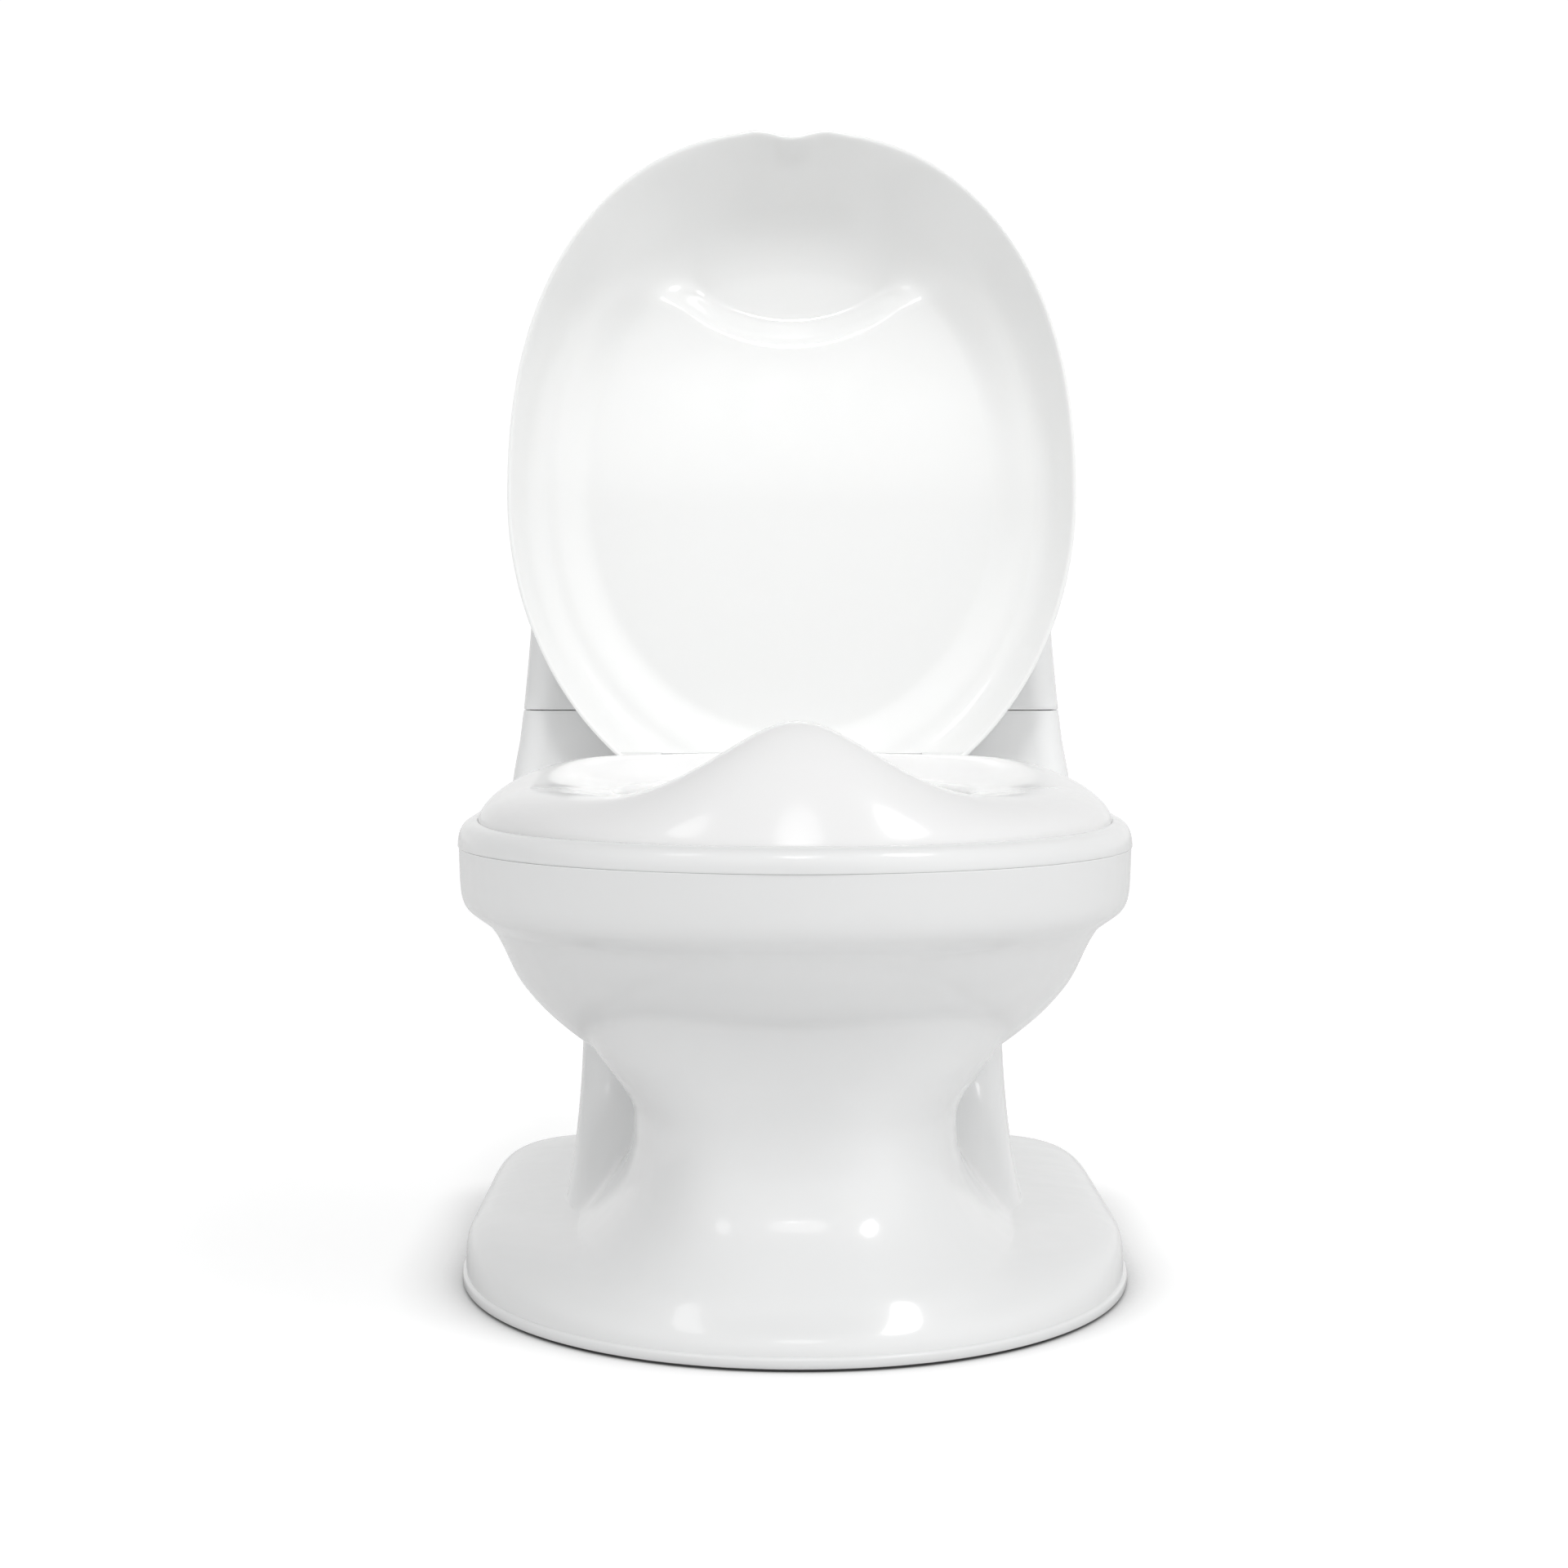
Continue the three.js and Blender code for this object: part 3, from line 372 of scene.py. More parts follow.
def smoothstep(value, low, high):
    share = np.clip((np.asarray(value, float) - low) / (high - low), 0, 1)
    return share * share * (3 - 2 * share)


def bell(value):
    inside = np.clip(np.abs(value), 0, 1)
    return np.cos(math.pi / 2 * inside) ** 2


def spline_rows(rows, spacing):
    """Rows of a table joined by a natural cubic spline, about evenly spaced on its first three columns."""
    rows = np.asarray(rows, float)
    chord = np.linalg.norm(np.diff(rows[:, :3], axis=0), axis=1)
    knots = np.concatenate([[0], np.cumsum(chord)])
    count = len(rows)
    matrix = np.eye(count)
    right = np.zeros_like(rows)
    for i in range(1, count - 1):
        before, after = chord[i - 1], chord[i]
        matrix[i, i - 1 : i + 2] = [before, 2 * (before + after), after]
        right[i] = 6 * ((rows[i + 1] - rows[i]) / after - (rows[i] - rows[i - 1]) / before)
    bend = np.linalg.solve(matrix, right)
    where = np.linspace(0, knots[-1], int(knots[-1] / spacing) + 1)
    piece = np.clip(np.searchsorted(knots, where, side="right") - 1, 0, count - 2)
    length = chord[piece][:, None]
    a = (knots[piece + 1] - where)[:, None]
    b = (where - knots[piece])[:, None]
    low, high = rows[piece], rows[piece + 1]
    curve = (bend[piece] * a**3 + bend[piece + 1] * b**3) / (6 * length)
    straight_low = (low / length - bend[piece] * length / 6) * a
    straight_high = (high / length - bend[piece + 1] * length / 6) * b
    return curve + straight_low + straight_high


# ---- materials ----
def node_material(name):
    material = bpy.data.materials.new(name)
    material.use_nodes = True
    nodes = material.node_tree.nodes
    return material, nodes, material.node_tree.links, nodes["Principled BSDF"]


def noise(nodes, links, scale, detail=3.0):
    place = nodes.new("ShaderNodeTexCoord")
    texture = nodes.new("ShaderNodeTexNoise")
    texture.inputs["Scale"].default_value = scale
    texture.inputs["Detail"].default_value = detail
    links.new(place.outputs["Object"], texture.inputs["Vector"])
    return texture.outputs["Fac"]


def remap(nodes, links, value, low, high):
    step = nodes.new("ShaderNodeMapRange")
    step.inputs["From Min"].default_value = 0.3
    step.inputs["From Max"].default_value = 0.7
    step.inputs["To Min"].default_value = low
    step.inputs["To Max"].default_value = high
    links.new(value, step.inputs["Value"])
    return step.outputs["Result"]


def tint(nodes, links, value, colour, spread):
    mix = nodes.new("ShaderNodeMix")
    mix.data_type = "RGBA"
    links.new(value, mix.inputs["Factor"])
    mix.inputs[6].default_value = (*[c * (1 - spread) for c in colour], 1)
    mix.inputs[7].default_value = (*[min(c * (1 + spread), 1) for c in colour], 1)
    return mix.outputs[2]


def bump(nodes, links, value, height, shader):
    step = nodes.new("ShaderNodeBump")
    step.inputs["Distance"].default_value = height * MM
    step.inputs["Strength"].default_value = 1.0
    links.new(value, step.inputs["Height"])
    links.new(step.outputs["Normal"], shader.inputs["Normal"])


def plastic(name, colour, roughness, coat=0.6, waviness=0.02, glow=0.12):
    """Injection-moulded plastic: a gloss skin with faint flow waves, uneven sheen and a milky body."""
    material, nodes, links, shader = node_material(name)
    cloud = noise(nodes, links, 9, 2)
    links.new(tint(nodes, links, cloud, colour, 0.012), shader.inputs["Base Color"])
    haze = noise(nodes, links, 45, 4)
    sheen = remap(nodes, links, haze, roughness * 0.85, roughness * 1.2)
    links.new(sheen, shader.inputs["Roughness"])
    shader.inputs["IOR"].default_value = 1.49
    shader.inputs["Coat Weight"].default_value = coat
    shader.inputs["Coat Roughness"].default_value = 0.06
    shader.inputs["Subsurface Weight"].default_value = glow
    shader.inputs["Subsurface Radius"].default_value = (1.0, 0.95, 0.9)
    shader.inputs["Subsurface Scale"].default_value = 2 * MM
    waves = noise(nodes, links, 38, 1)
    bump(nodes, links, waves, waviness, shader)
    return material


def rubber(name, colour):
    material, nodes, links, shader = node_material(name)
    grain = noise(nodes, links, 900, 4)
    links.new(tint(nodes, links, grain, colour, 0.06), shader.inputs["Base Color"])
    shader.inputs["Roughness"].default_value = 0.72
    bump(nodes, links, grain, 0.08, shader)
    return material


def metal(name, colour, roughness):
    material, nodes, links, shader = node_material(name)
    grain = noise(nodes, links, 1500, 3)
    links.new(tint(nodes, links, grain, colour, 0.05), shader.inputs["Base Color"])
    sheen = remap(nodes, links, grain, roughness * 0.8, roughness * 1.3)
    links.new(sheen, shader.inputs["Roughness"])
    shader.inputs["Metallic"].default_value = 1.0
    return material


def board_material(name):
    """Green solder mask over faint copper areas."""
    material, nodes, links, shader = node_material(name)
    cells = nodes.new("ShaderNodeTexVoronoi")
    cells.feature = "DISTANCE_TO_EDGE"
    cells.inputs["Scale"].default_value = 320
    edge = remap(nodes, links, cells.outputs["Distance"], 0.0, 1.0)
    links.new(tint(nodes, links, edge, (0.03, 0.16, 0.08), 0.3), shader.inputs["Base Color"])
    shader.inputs["Roughness"].default_value = 0.4
    bump(nodes, links, edge, 0.03, shader)
    return material


WHITE = (0.83, 0.835, 0.835)
LOOKS = {
    "shell": plastic("shell_gloss", WHITE, 0.2),
    "seat": plastic("seat_gloss", (0.85, 0.85, 0.85), 0.17),
    "lid": plastic("lid_gloss", (0.84, 0.845, 0.84), 0.13),
    "pan": plastic("pan_satin", (0.86, 0.86, 0.85), 0.27, coat=0.2),
    "grey": plastic("grey_satin", (0.58, 0.6, 0.61), 0.34, coat=0.1),
    "module": plastic("module_satin", (0.62, 0.64, 0.65), 0.4, coat=0.0, waviness=0.04),
    "black": plastic("black_satin", (0.03, 0.03, 0.032), 0.4, coat=0.0, glow=0.0),
    "rubber": rubber("soft_rubber", (0.62, 0.63, 0.63)),
    "steel": metal("zinc_steel", (0.6, 0.61, 0.63), 0.3),
    "cell": metal("cell_wrap", (0.42, 0.45, 0.5), 0.38),
    "board": board_material("solder_mask"),
}


def dress(obj, node, look):
    """Gives a finished piece smooth shading, its material and the body of its CAD node, and hides the CAD
    node.
    """
    obj.data.shade_smooth()
    obj.data.set_sharp_from_angle(angle=SHARP_ANGLE)
    obj.data.materials.clear()
    obj.data.materials.append(LOOKS[look])
    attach(obj, frame["nodes"][node]["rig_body"])
    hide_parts(node)
    return obj


# ---- base shell ----
def body_form(rows, middle, front_power, rear_power=None):
    """A function from a height to the form's outline there, or None beyond the form's ends."""
    table = spline_rows(rows, 0.4)

    def at(z):
        if not rows[0][0] - 0.01 <= z <= rows[-1][0] + 0.01:
            return None
        half, front, rear = [float(np.interp(z, table[:, 0], table[:, i])) for i in (1, 2, 3)]
        power = rear_power or float(np.interp(z, table[:, 0], table[:, 4]))
        return outline(half, front, rear, middle, front_power, power)

    return at


def softer_maximum(values, softness):
    values = np.array(values)
    top = values.max(axis=0)
    return top + softness * np.log(np.exp((values - top) / softness).sum(axis=0))


def body_levels():
    """Heights of the mesh rows: close together where the foot's top and the band's ledge run level."""
    foot = spline_rows(FOOT_ROWS, 1.1)[:, 0]
    bowl = spline_rows(BOWL_ROWS, 1.3)[:, 0]
    between = np.arange(foot[-1] + 1, bowl[0] - 0.6, 1.3)
    return np.concatenate([foot, between, bowl])


def base_profile(directions):
    """Radius from the hub and height, for each level and direction, up the outside of the base shell."""
    hub = (0, HUB_Y)
    lower = [
        body_form(FOOT_ROWS, FOOT_MIDDLE, FRONT_POWER, 9),
        body_form(PEDESTAL_ROWS, PEDESTAL_MIDDLE, PEDESTAL_POWER, 2.2),
        body_form(COLUMN_ROWS, COLUMN_MIDDLE, 7, 6),
    ]
    bowl = body_form(BOWL_ROWS, RIM_MIDDLE, FRONT_POWER)
    foot = distance_to(FOOT, hub, directions)
    levels = [(foot - step, z) for step, z in BEAD]
    for z in body_levels():
        shown = [form(z) for form in lower]
        reaches = [distance_to(line, hub, directions) for line in shown if line]
        upper = [distance_to(bowl(z), hub, directions)] if bowl(z) else []
        if reaches:
            upper.append(softer_maximum(reaches, COLUMN_BLEND))
        levels.append((softer_maximum(upper, BOWL_BLEND), z))
    last, top = levels[-1]
    levels += [(last - step, top + rise) for step, rise in RIM_EDGE]
    radius = np.array([level[0] for level in levels])
    height = np.array([np.full(len(directions), level[1]) for level in levels])
    return radius, height


def moved_inwards(radius, height, wall):
    """The same profiles moved inwards, square to the wall."""
    slope_r = np.gradient(radius, axis=0)
    slope_z = np.gradient(height, axis=0)
    length = np.hypot(slope_r, slope_z)
    return radius - slope_z / length * wall, height + slope_r / length * wall


def hub_rings(directions, radius, height):
    x = directions[:, 0] * radius
    y = HUB_Y + directions[:, 1] * radius
    return np.stack([x, y, height], axis=-1)


SCREW_ANGLES = [35, 145, 218, 322]
SCREW_INSET = 12
LUG_Z = 172
LUG_THICKNESS = 4
LUG_RADIUS = 10
LUG_HOLE = 2.4
PAD_SEAT_MARGIN = 11  # of the shell's seat round a pad
PAD_SEAT_THICKNESS = 3


def screw_places():
    line = inset(RIM, SCREW_INSET)
    places = []
    for degrees in SCREW_ANGLES:
        x, y = math.cos(math.radians(degrees)), math.sin(math.radians(degrees))
        size = float(gauge(line, x, RIM_MIDDLE + y))
        places.append((x / size, RIM_MIDDLE + y / size))
    return places


def pad_places():
    return [node for node in frame["nodes"] if node.startswith("foot_pad")]


def base_shell():
    directions = directions_from((0, HUB_Y), even_ring(RIM, RIM_AROUND))
    radius, height = base_profile(directions)
    inner_from = len(BEAD) + 4
    inner_to = len(radius) - len(RIM_EDGE)
    inner_r, inner_z = moved_inwards(radius, height, WALL)
    outside = hub_rings(directions, radius, height)
    inside = hub_rings(directions, inner_r, inner_z)[inner_from:inner_to][::-1]
    top = inside[0].copy()
    top[:, 2] = outside[-1, :, 2]
    floor = inside[-1].copy()
    floor[:, 2] = 1
    shell = loft("base_shell_fine", np.vstack([outside, top[None], inside, floor[None]]), closed=True)
    filled = loft("filled", outside)
    parts = []
    for node in pad_places():
        low, high = box_mm(node)
        x, y = (low + high)[:2] / 2
        seat_z = high[2] + GAP
        radius = high[0] - x + PAD_SEAT_MARGIN
        parts.append(post("pad_seat", radius, x, y, seat_z, seat_z + PAD_SEAT_THICKNESS))
    for x, y in screw_places():
        parts.append(post("lug", LUG_RADIUS, x, y, LUG_Z, LUG_Z + LUG_THICKNESS))
    whole = parts[0]
    join(whole, *parts[1:])
    combine(whole, [filled], "INTERSECT")
    join(shell, whole)
    z0, z1 = LUG_Z - 1, LUG_Z + LUG_THICKNESS + 1
    holes = [post("hole", LUG_HOLE, x, y, z0, z1) for x, y in screw_places()]
    cut(shell, *holes)
    return dress(shell, "base_shell", "shell")


# ---- upper shell ----
TANK_HALF = 127.8
TANK_FRONT = 141.0
TANK_BACK = 188.0
TANK_CORNER = 15.0
TANK_REAR_CORNER = 28.0
SEAM_Z = 233.5
# Height, half width and front of the tank's lower wall: a fillet out of the deck, then a taper to the seam.
TANK_LOWER = [
    [190.4, 136.2, 132.6],
    [192, 134.6, 135.6],
    [195, 133.5, 137.8],
    [200, 132.7, 139.3],
    [207, 131.7, 140.4],
    [218, 129.7, 141],
    [228, 128.4, 141],
    [SEAM_Z - 0.6, TANK_HALF, TANK_FRONT],
]


TANK_STEPS = 14  # mesh steps round each corner of the tank and along each side


def tank_ring(half, front, rear, wall, z):
    """The tank's plan: a box with small corners in front and large corners behind, moved in by the wall."""
    x, y0, y1 = half - wall, front + wall, rear - wall
    depth = y1 - y0
    small = min(max(TANK_CORNER - wall, 1), 0.35 * depth)
    large = min(max(TANK_REAR_CORNER - wall, 1), 0.6 * depth)
    corners = [
        (x - large, y1 - large, large),
        (large - x, y1 - large, large),
        (small - x, y0 + small, small),
        (x - small, y0 + small, small),
    ]
    arcs = []
    for quarter, (cx, cy, radius) in enumerate(corners):
        angle = math.pi / 2 * (quarter + np.linspace(0, 1, TANK_STEPS + 1))
        arcs.append(np.stack([cx + radius * np.cos(angle), cy + radius * np.sin(angle)], axis=-1))
    points = []
    ease = (1 - np.cos(np.linspace(0, math.pi, TANK_STEPS + 1)[1:-1])) / 2
    for arc, following in zip(arcs, arcs[1:] + arcs[:1]):
        points.append(arc)
        points.append(arc[-1] + (following[0] - arc[-1]) * ease[:, None])
    return at_height(np.vstack(points), z)


RIM_BOTTOM = BAND_TOP + 0.15
CREST_AT = 7.4  # from the rim's outer edge to its crest
CREST_FRONT = 0.9  # how far the crest stands over the deck in front of the seat
CREST_RISE = 2.3  # and beside the seat and behind it
# From the crest down to the seat's nest: step inwards, and share of the crest's rise.
NEST = [[7.9, 0.9], [8.1, 0.5], [8.2, 0.0]]


def deck():
    """Rim, deck and collar in one closed loft, from the rim's edge over the deck and down the pan hole."""
    centre = (0, (PAN_HOLE["front"] + PAN_HOLE["rear"]) / 2)
    directions = directions_from(centre, even_ring(RIM, RIM_AROUND))
    backwards = smoothstep(ring_along(RIM, centre, directions, 0)[:, 1], -140, -10)
    crest = CREST_FRONT + (CREST_RISE - CREST_FRONT) * backwards
    start = RIM_BOTTOM + 0.2
    steps = [(0.3, RIM_BOTTOM), (0.08, RIM_BOTTOM + 0.05), (0, start)]
    rise = DECK_TOP + crest - start
    power = 2 / 2.3
    for angle in np.linspace(0.05, math.pi / 2, 22):
        across = CREST_AT * (1 - math.cos(angle) ** power)
        steps.append((across, start + rise * math.sin(angle) ** power))
    steps += [(step, DECK_TOP + crest * share) for step, share in NEST]
    steps.append((11, DECK_TOP))
    rings = [ring_along(inset(RIM, step), centre, directions, z) for step, z in steps]
    edge = 1.2
    hole = [(-4 - edge, DECK_TOP), (-edge, DECK_TOP)]
    for angle in np.linspace(0, math.pi / 2, 6)[1:]:
        hole.append((-edge + edge * math.sin(angle), DECK_TOP - edge + edge * math.cos(angle)))
    hole += [(0, 181.4), (-0.4, 181), (-WALL + 0.4, 181), (-WALL, 181.4), (-WALL, DECK_TOP - DECK_SKIN)]
    rings += [ring_along(inset(PAN_HOLE, step), centre, directions, z) for step, z in hole]
    under = [(WALL + 3, DECK_TOP - DECK_SKIN), (WALL, RIM_BOTTOM)]
    rings += [ring_along(inset(RIM, step), centre, directions, z) for step, z in under]
    return loft("upper_shell_fine", rings, closed=True)


def tank_wall():
    rows = spline_rows(TANK_LOWER, 1.0)
    edge = [[SEAM_Z - 0.2, TANK_HALF - 0.1, TANK_FRONT + 0.1], [SEAM_Z, TANK_HALF - 0.5, TANK_FRONT + 0.5]]
    start = [[188.6, 136.2, 132.6]]
    rings = []
    for z, half, front in [*start, *rows.tolist(), *edge]:
        rings.append(tank_ring(half, front, TANK_BACK, 0, z))
    inner = [[SEAM_Z, 127.8, 141, WALL], [212, 130.7, 140.7, WALL], [200, 132.7, 139.3, WALL + 2]]
    inner.append([188.6, 135, 136, WALL + 3])
    for z, half, front, wall in inner:
        rings.append(tank_ring(half, front, TANK_BACK, wall, z))
    return loft("tank_wall", rings, closed=True)


EAR_X = (52.6, 60)
SEAT_KNUCKLE_X = (44, 52)
LID_KNUCKLE_X = (60.6, 68.6)
KNUCKLE = 6.2
HINGE_ROOM = 13.5  # kept free of the lid's wall round the seat's knuckles and the ears
PIN_RADIUS = 3.0
PIN_X = (43.2, 70.2)
PIN_HEAD_X = (69, 71.2)
PIN_HEAD_RADIUS = 4.8
PIN_HOLE = 3.3
BOSS_RADIUS = 5
BOSS_HOLE = 1.9
TANK_EAR_X = (70, 78)
TANK_KNUCKLE_X = (78.6, 86.6)
TANK_KNUCKLE = 3.8
TANK_PIN_X = (68, 88)
TANK_PIN_RADIUS = 1.6
TANK_PIN_HOLE = 1.9
SIDES = (1, -1)


def hinge_ear(side):
    x = span(side, EAR_X)
    plate = block("ear", x, (HINGE[1] - KNUCKLE, HINGE[1] + KNUCKLE), (DECK_TOP - 1, HINGE[2]))
    return join(plate, bar("barrel", KNUCKLE, *x, HINGE[1], HINGE[2]))


def tank_ear(side):
    x = span(side, TANK_EAR_X)
    arm = block("arm", x, (TANK_BACK - 1, TANK_HINGE[1] + 1), (TANK_HINGE[2] - 9, TANK_HINGE[2] - 1))
    return join(arm, bar("barrel", TANK_KNUCKLE, *x, TANK_HINGE[1], TANK_HINGE[2]))


def relief(side, x_range):
    x = span(side, x_range)
    return bar("relief", TANK_KNUCKLE + 0.5, *x, TANK_HINGE[1], TANK_HINGE[2])


def upper_shell():
    shell = deck()
    join(shell, tank_wall())
    join(shell, *[hinge_ear(side) for side in SIDES], *[tank_ear(side) for side in SIDES])
    top = DECK_TOP - DECK_SKIN + 1
    boss_low = LUG_Z + LUG_THICKNESS + GAP
    join(shell, *[post("boss", BOSS_RADIUS, x, y, boss_low, top) for x, y in screw_places()])
    holes = [post("hole", BOSS_HOLE, x, y, LUG_Z, DECK_TOP - DECK_SKIN) for x, y in screw_places()]
    holes.append(bar("pin_hole", PIN_HOLE, -EAR_X[1] - 1, EAR_X[1] + 1, HINGE[1], HINGE[2]))
    tank_hole = TANK_EAR_X[1] + 1
    holes.append(bar("pin_hole", TANK_PIN_HOLE, -tank_hole, tank_hole, TANK_HINGE[1], TANK_HINGE[2]))
    beside = (TANK_KNUCKLE_X[0] - 0.3, TANK_KNUCKLE_X[1] + 0.6)
    holes += [relief(side, beside) for side in SIDES]
    cut(shell, *holes)
    return dress(shell, "upper_shell", "shell")


# ---- seat ring ----
SEAT_BOTTOM = 191.2
SEAT_LOW = 207.0
SEAT_REAR = 216.0
GUARD_TOP = 237.0
GUARD_HALF = 106.0
GUARD_POWER = 1.5  # draws the guard's flanks in below its rounded top
CREST_INSET = 26.0
GUARD_INSET = 44.0
OPENING_EDGE = 205.0
SEAT_SKIN = 3.0
FLANK_POWER = 0.42
GUARD_FLANK_POWER = 0.97


def seat_crest(edge):
    """Height of the seat's crest, its distance from the outer edge and the roundness of the flank."""
    backwards = smoothstep(edge[:, 1], -60, 60)
    guard = np.where(edge[:, 1] < SEAT["middle"], bell(edge[:, 0] / GUARD_HALF) ** GUARD_POWER, 0)
    z = SEAT_LOW + (SEAT_REAR - SEAT_LOW) * backwards
    power = FLANK_POWER + (GUARD_FLANK_POWER - FLANK_POWER) * np.sqrt(guard)
    return z + (GUARD_TOP - z) * guard, CREST_INSET + (GUARD_INSET - CREST_INSET) * guard, power


def seat_rings():
    edge = angle_ring(SEAT, SEAT_AROUND)
    lip = angle_ring(OPENING, SEAT_AROUND)
    width = np.linalg.norm(lip - edge, axis=1)
    inwards = (lip - edge) / width[:, None]
    crest_z, crest_at, power = seat_crest(edge)

    def ring(distance, z):
        return at_height(edge + inwards * np.broadcast_to(distance, width.shape)[:, None], z)

    lip_round = 2.6
    rings = [ring(0.8, SEAT_BOTTOM), ring(0.3, SEAT_BOTTOM + 0.05), ring(0.05, SEAT_BOTTOM + 0.3)]
    skin = []
    for t in np.linspace(0.07, 1, 38) ** 1.7:
        rise = math.sin(math.pi / 2 * t) ** power
        skin.append((crest_at * t, SEAT_BOTTOM + (crest_z - SEAT_BOTTOM) * rise))
    for t in np.linspace(0, 1, 27)[1:]:
        fall = (1 - math.cos(math.pi * t)) / 2
        distance = crest_at + (width - lip_round - crest_at) * t
        skin.append((distance, crest_z + (OPENING_EDGE - crest_z) * fall))
    rings += [ring(distance, z) for distance, z in skin]
    for angle in np.linspace(0, math.pi / 2, 7)[1:]:
        distance = width - lip_round + lip_round * math.sin(angle)
        rings.append(ring(distance, OPENING_EDGE - lip_round + lip_round * math.cos(angle)))
    rings += [ring(width, SEAT_BOTTOM + 0.8), ring(width - 0.2, SEAT_BOTTOM + 0.2)]
    rings += [ring(width - 0.8, SEAT_BOTTOM), ring(width - SEAT_SKIN, SEAT_BOTTOM)]
    back = skin[::-1][2:-4]
    for i, (distance, z) in enumerate(back):
        shift = SEAT_SKIN * (1 - 2 * i / (len(back) - 1))
        rings.append(ring(distance - shift, np.maximum(z - SEAT_SKIN, SEAT_BOTTOM + 0.5)))
    rings.append(ring(SEAT_SKIN + 0.5, SEAT_BOTTOM))
    return rings


def seat_knuckle(side):
    x = span(side, SEAT_KNUCKLE_X)
    arm = block("arm", x, (SEAT["rear"] - 16, HINGE[1]), (SEAT_BOTTOM + 5, HINGE[2] + 3))
    return join(arm, bar("barrel", KNUCKLE, *x, HINGE[1], HINGE[2]))


def seat_ring():
    seat = loft("seat_ring_fine", seat_rings(), closed=True)
    join(seat, *[seat_knuckle(side) for side in SIDES])
    reach = SEAT_KNUCKLE_X[1] + 1
    cut(seat, bar("pin_hole", PIN_HOLE, -reach, reach, HINGE[1], HINGE[2]))
    return dress(seat, "seat_ring", "seat")


# ---- lid, shaped shut and then opened ----
LID_EDGE = 201.6
LID_SKIN = 2.4
LID_LIP = 1.7  # width of the bare edge round the dish
DISH_REAR = 21.6
DISH_FRONT = 31.6
POCKET_DEPTH = 10.0
POCKET_CENTRE = -181.0
POCKET_RADIUS = 69.0
POCKET_BEVEL = 15.0
POCKET_WALL = 46.0  # from the lid's front edge to the ridge over the pocket
LID_END = HINGE[1] - 6
NOTCH_HALF = 16.0
NOTCH_DEPTH = 3.0


def dish_share(distance, width):
    """Share of the dish's depth at a distance from the edge: a wall of some width, then a second step."""
    wall = np.sin(math.pi / 2 * np.clip(distance / width, 0, 1)) ** 0.9
    step = smoothstep(distance, 17, 37)
    return 0.7 * wall + 0.3 * step


def pocket_share(distance):
    return np.sin(math.pi / 2 * np.clip(distance / POCKET_WALL, 0, 1)) ** 1.05


def lid_depth(x, y, distance):
    """Depth of the lid's inside over its edge."""
    depth = DISH_REAR + (DISH_FRONT - DISH_REAR) * smoothstep(-y, 20, 120)
    dish = depth * dish_share(distance, 19 + 20 * smoothstep(-y, 105, 175))
    pocket = (depth + POCKET_DEPTH) * pocket_share(distance)
    from_centre = np.hypot(x, y - POCKET_CENTRE)
    spread = 30 * (1 - smoothstep(distance, 10, 48))
    inside = 1 - smoothstep(from_centre, POCKET_RADIUS - spread, POCKET_RADIUS + POCKET_BEVEL + spread)
    ahead = smoothstep(-y, 60, 100)
    return dish + (pocket - dish) * inside * ahead


def lid_ring(distance, extra, drop, rise):
    """A ring of the lid at a distance from its edge. The finger notch fades out over the first 14 mm."""
    edge = angle_ring(LID, LID_AROUND)
    near = np.where(edge[:, 1] < LID["middle"], 1.0, 0.0)
    notch = NOTCH_DEPTH * bell(edge[:, 0] / NOTCH_HALF)
    shoulder = 0.5 * np.exp(-(((np.abs(edge[:, 0]) - NOTCH_HALF - 2) / 4) ** 2))
    fade = max(1 - distance / 14, 0) ** 2
    scale = 1 - (distance + extra) / LID["half"]
    x = edge[:, 0] * scale
    y = LID["middle"] + (edge[:, 1] - LID["middle"]) * scale + near * (notch - shoulder) * fade
    z = LID_EDGE + rise if rise is not None else LID_EDGE + lid_depth(x, y, distance) - drop
    return np.column_stack([x, y, np.broadcast_to(z, len(x))])


def lid_distances():
    fine = np.linspace(0, 1, 100)[1:] ** 1.1
    return fine * (LID["half"] - 3)


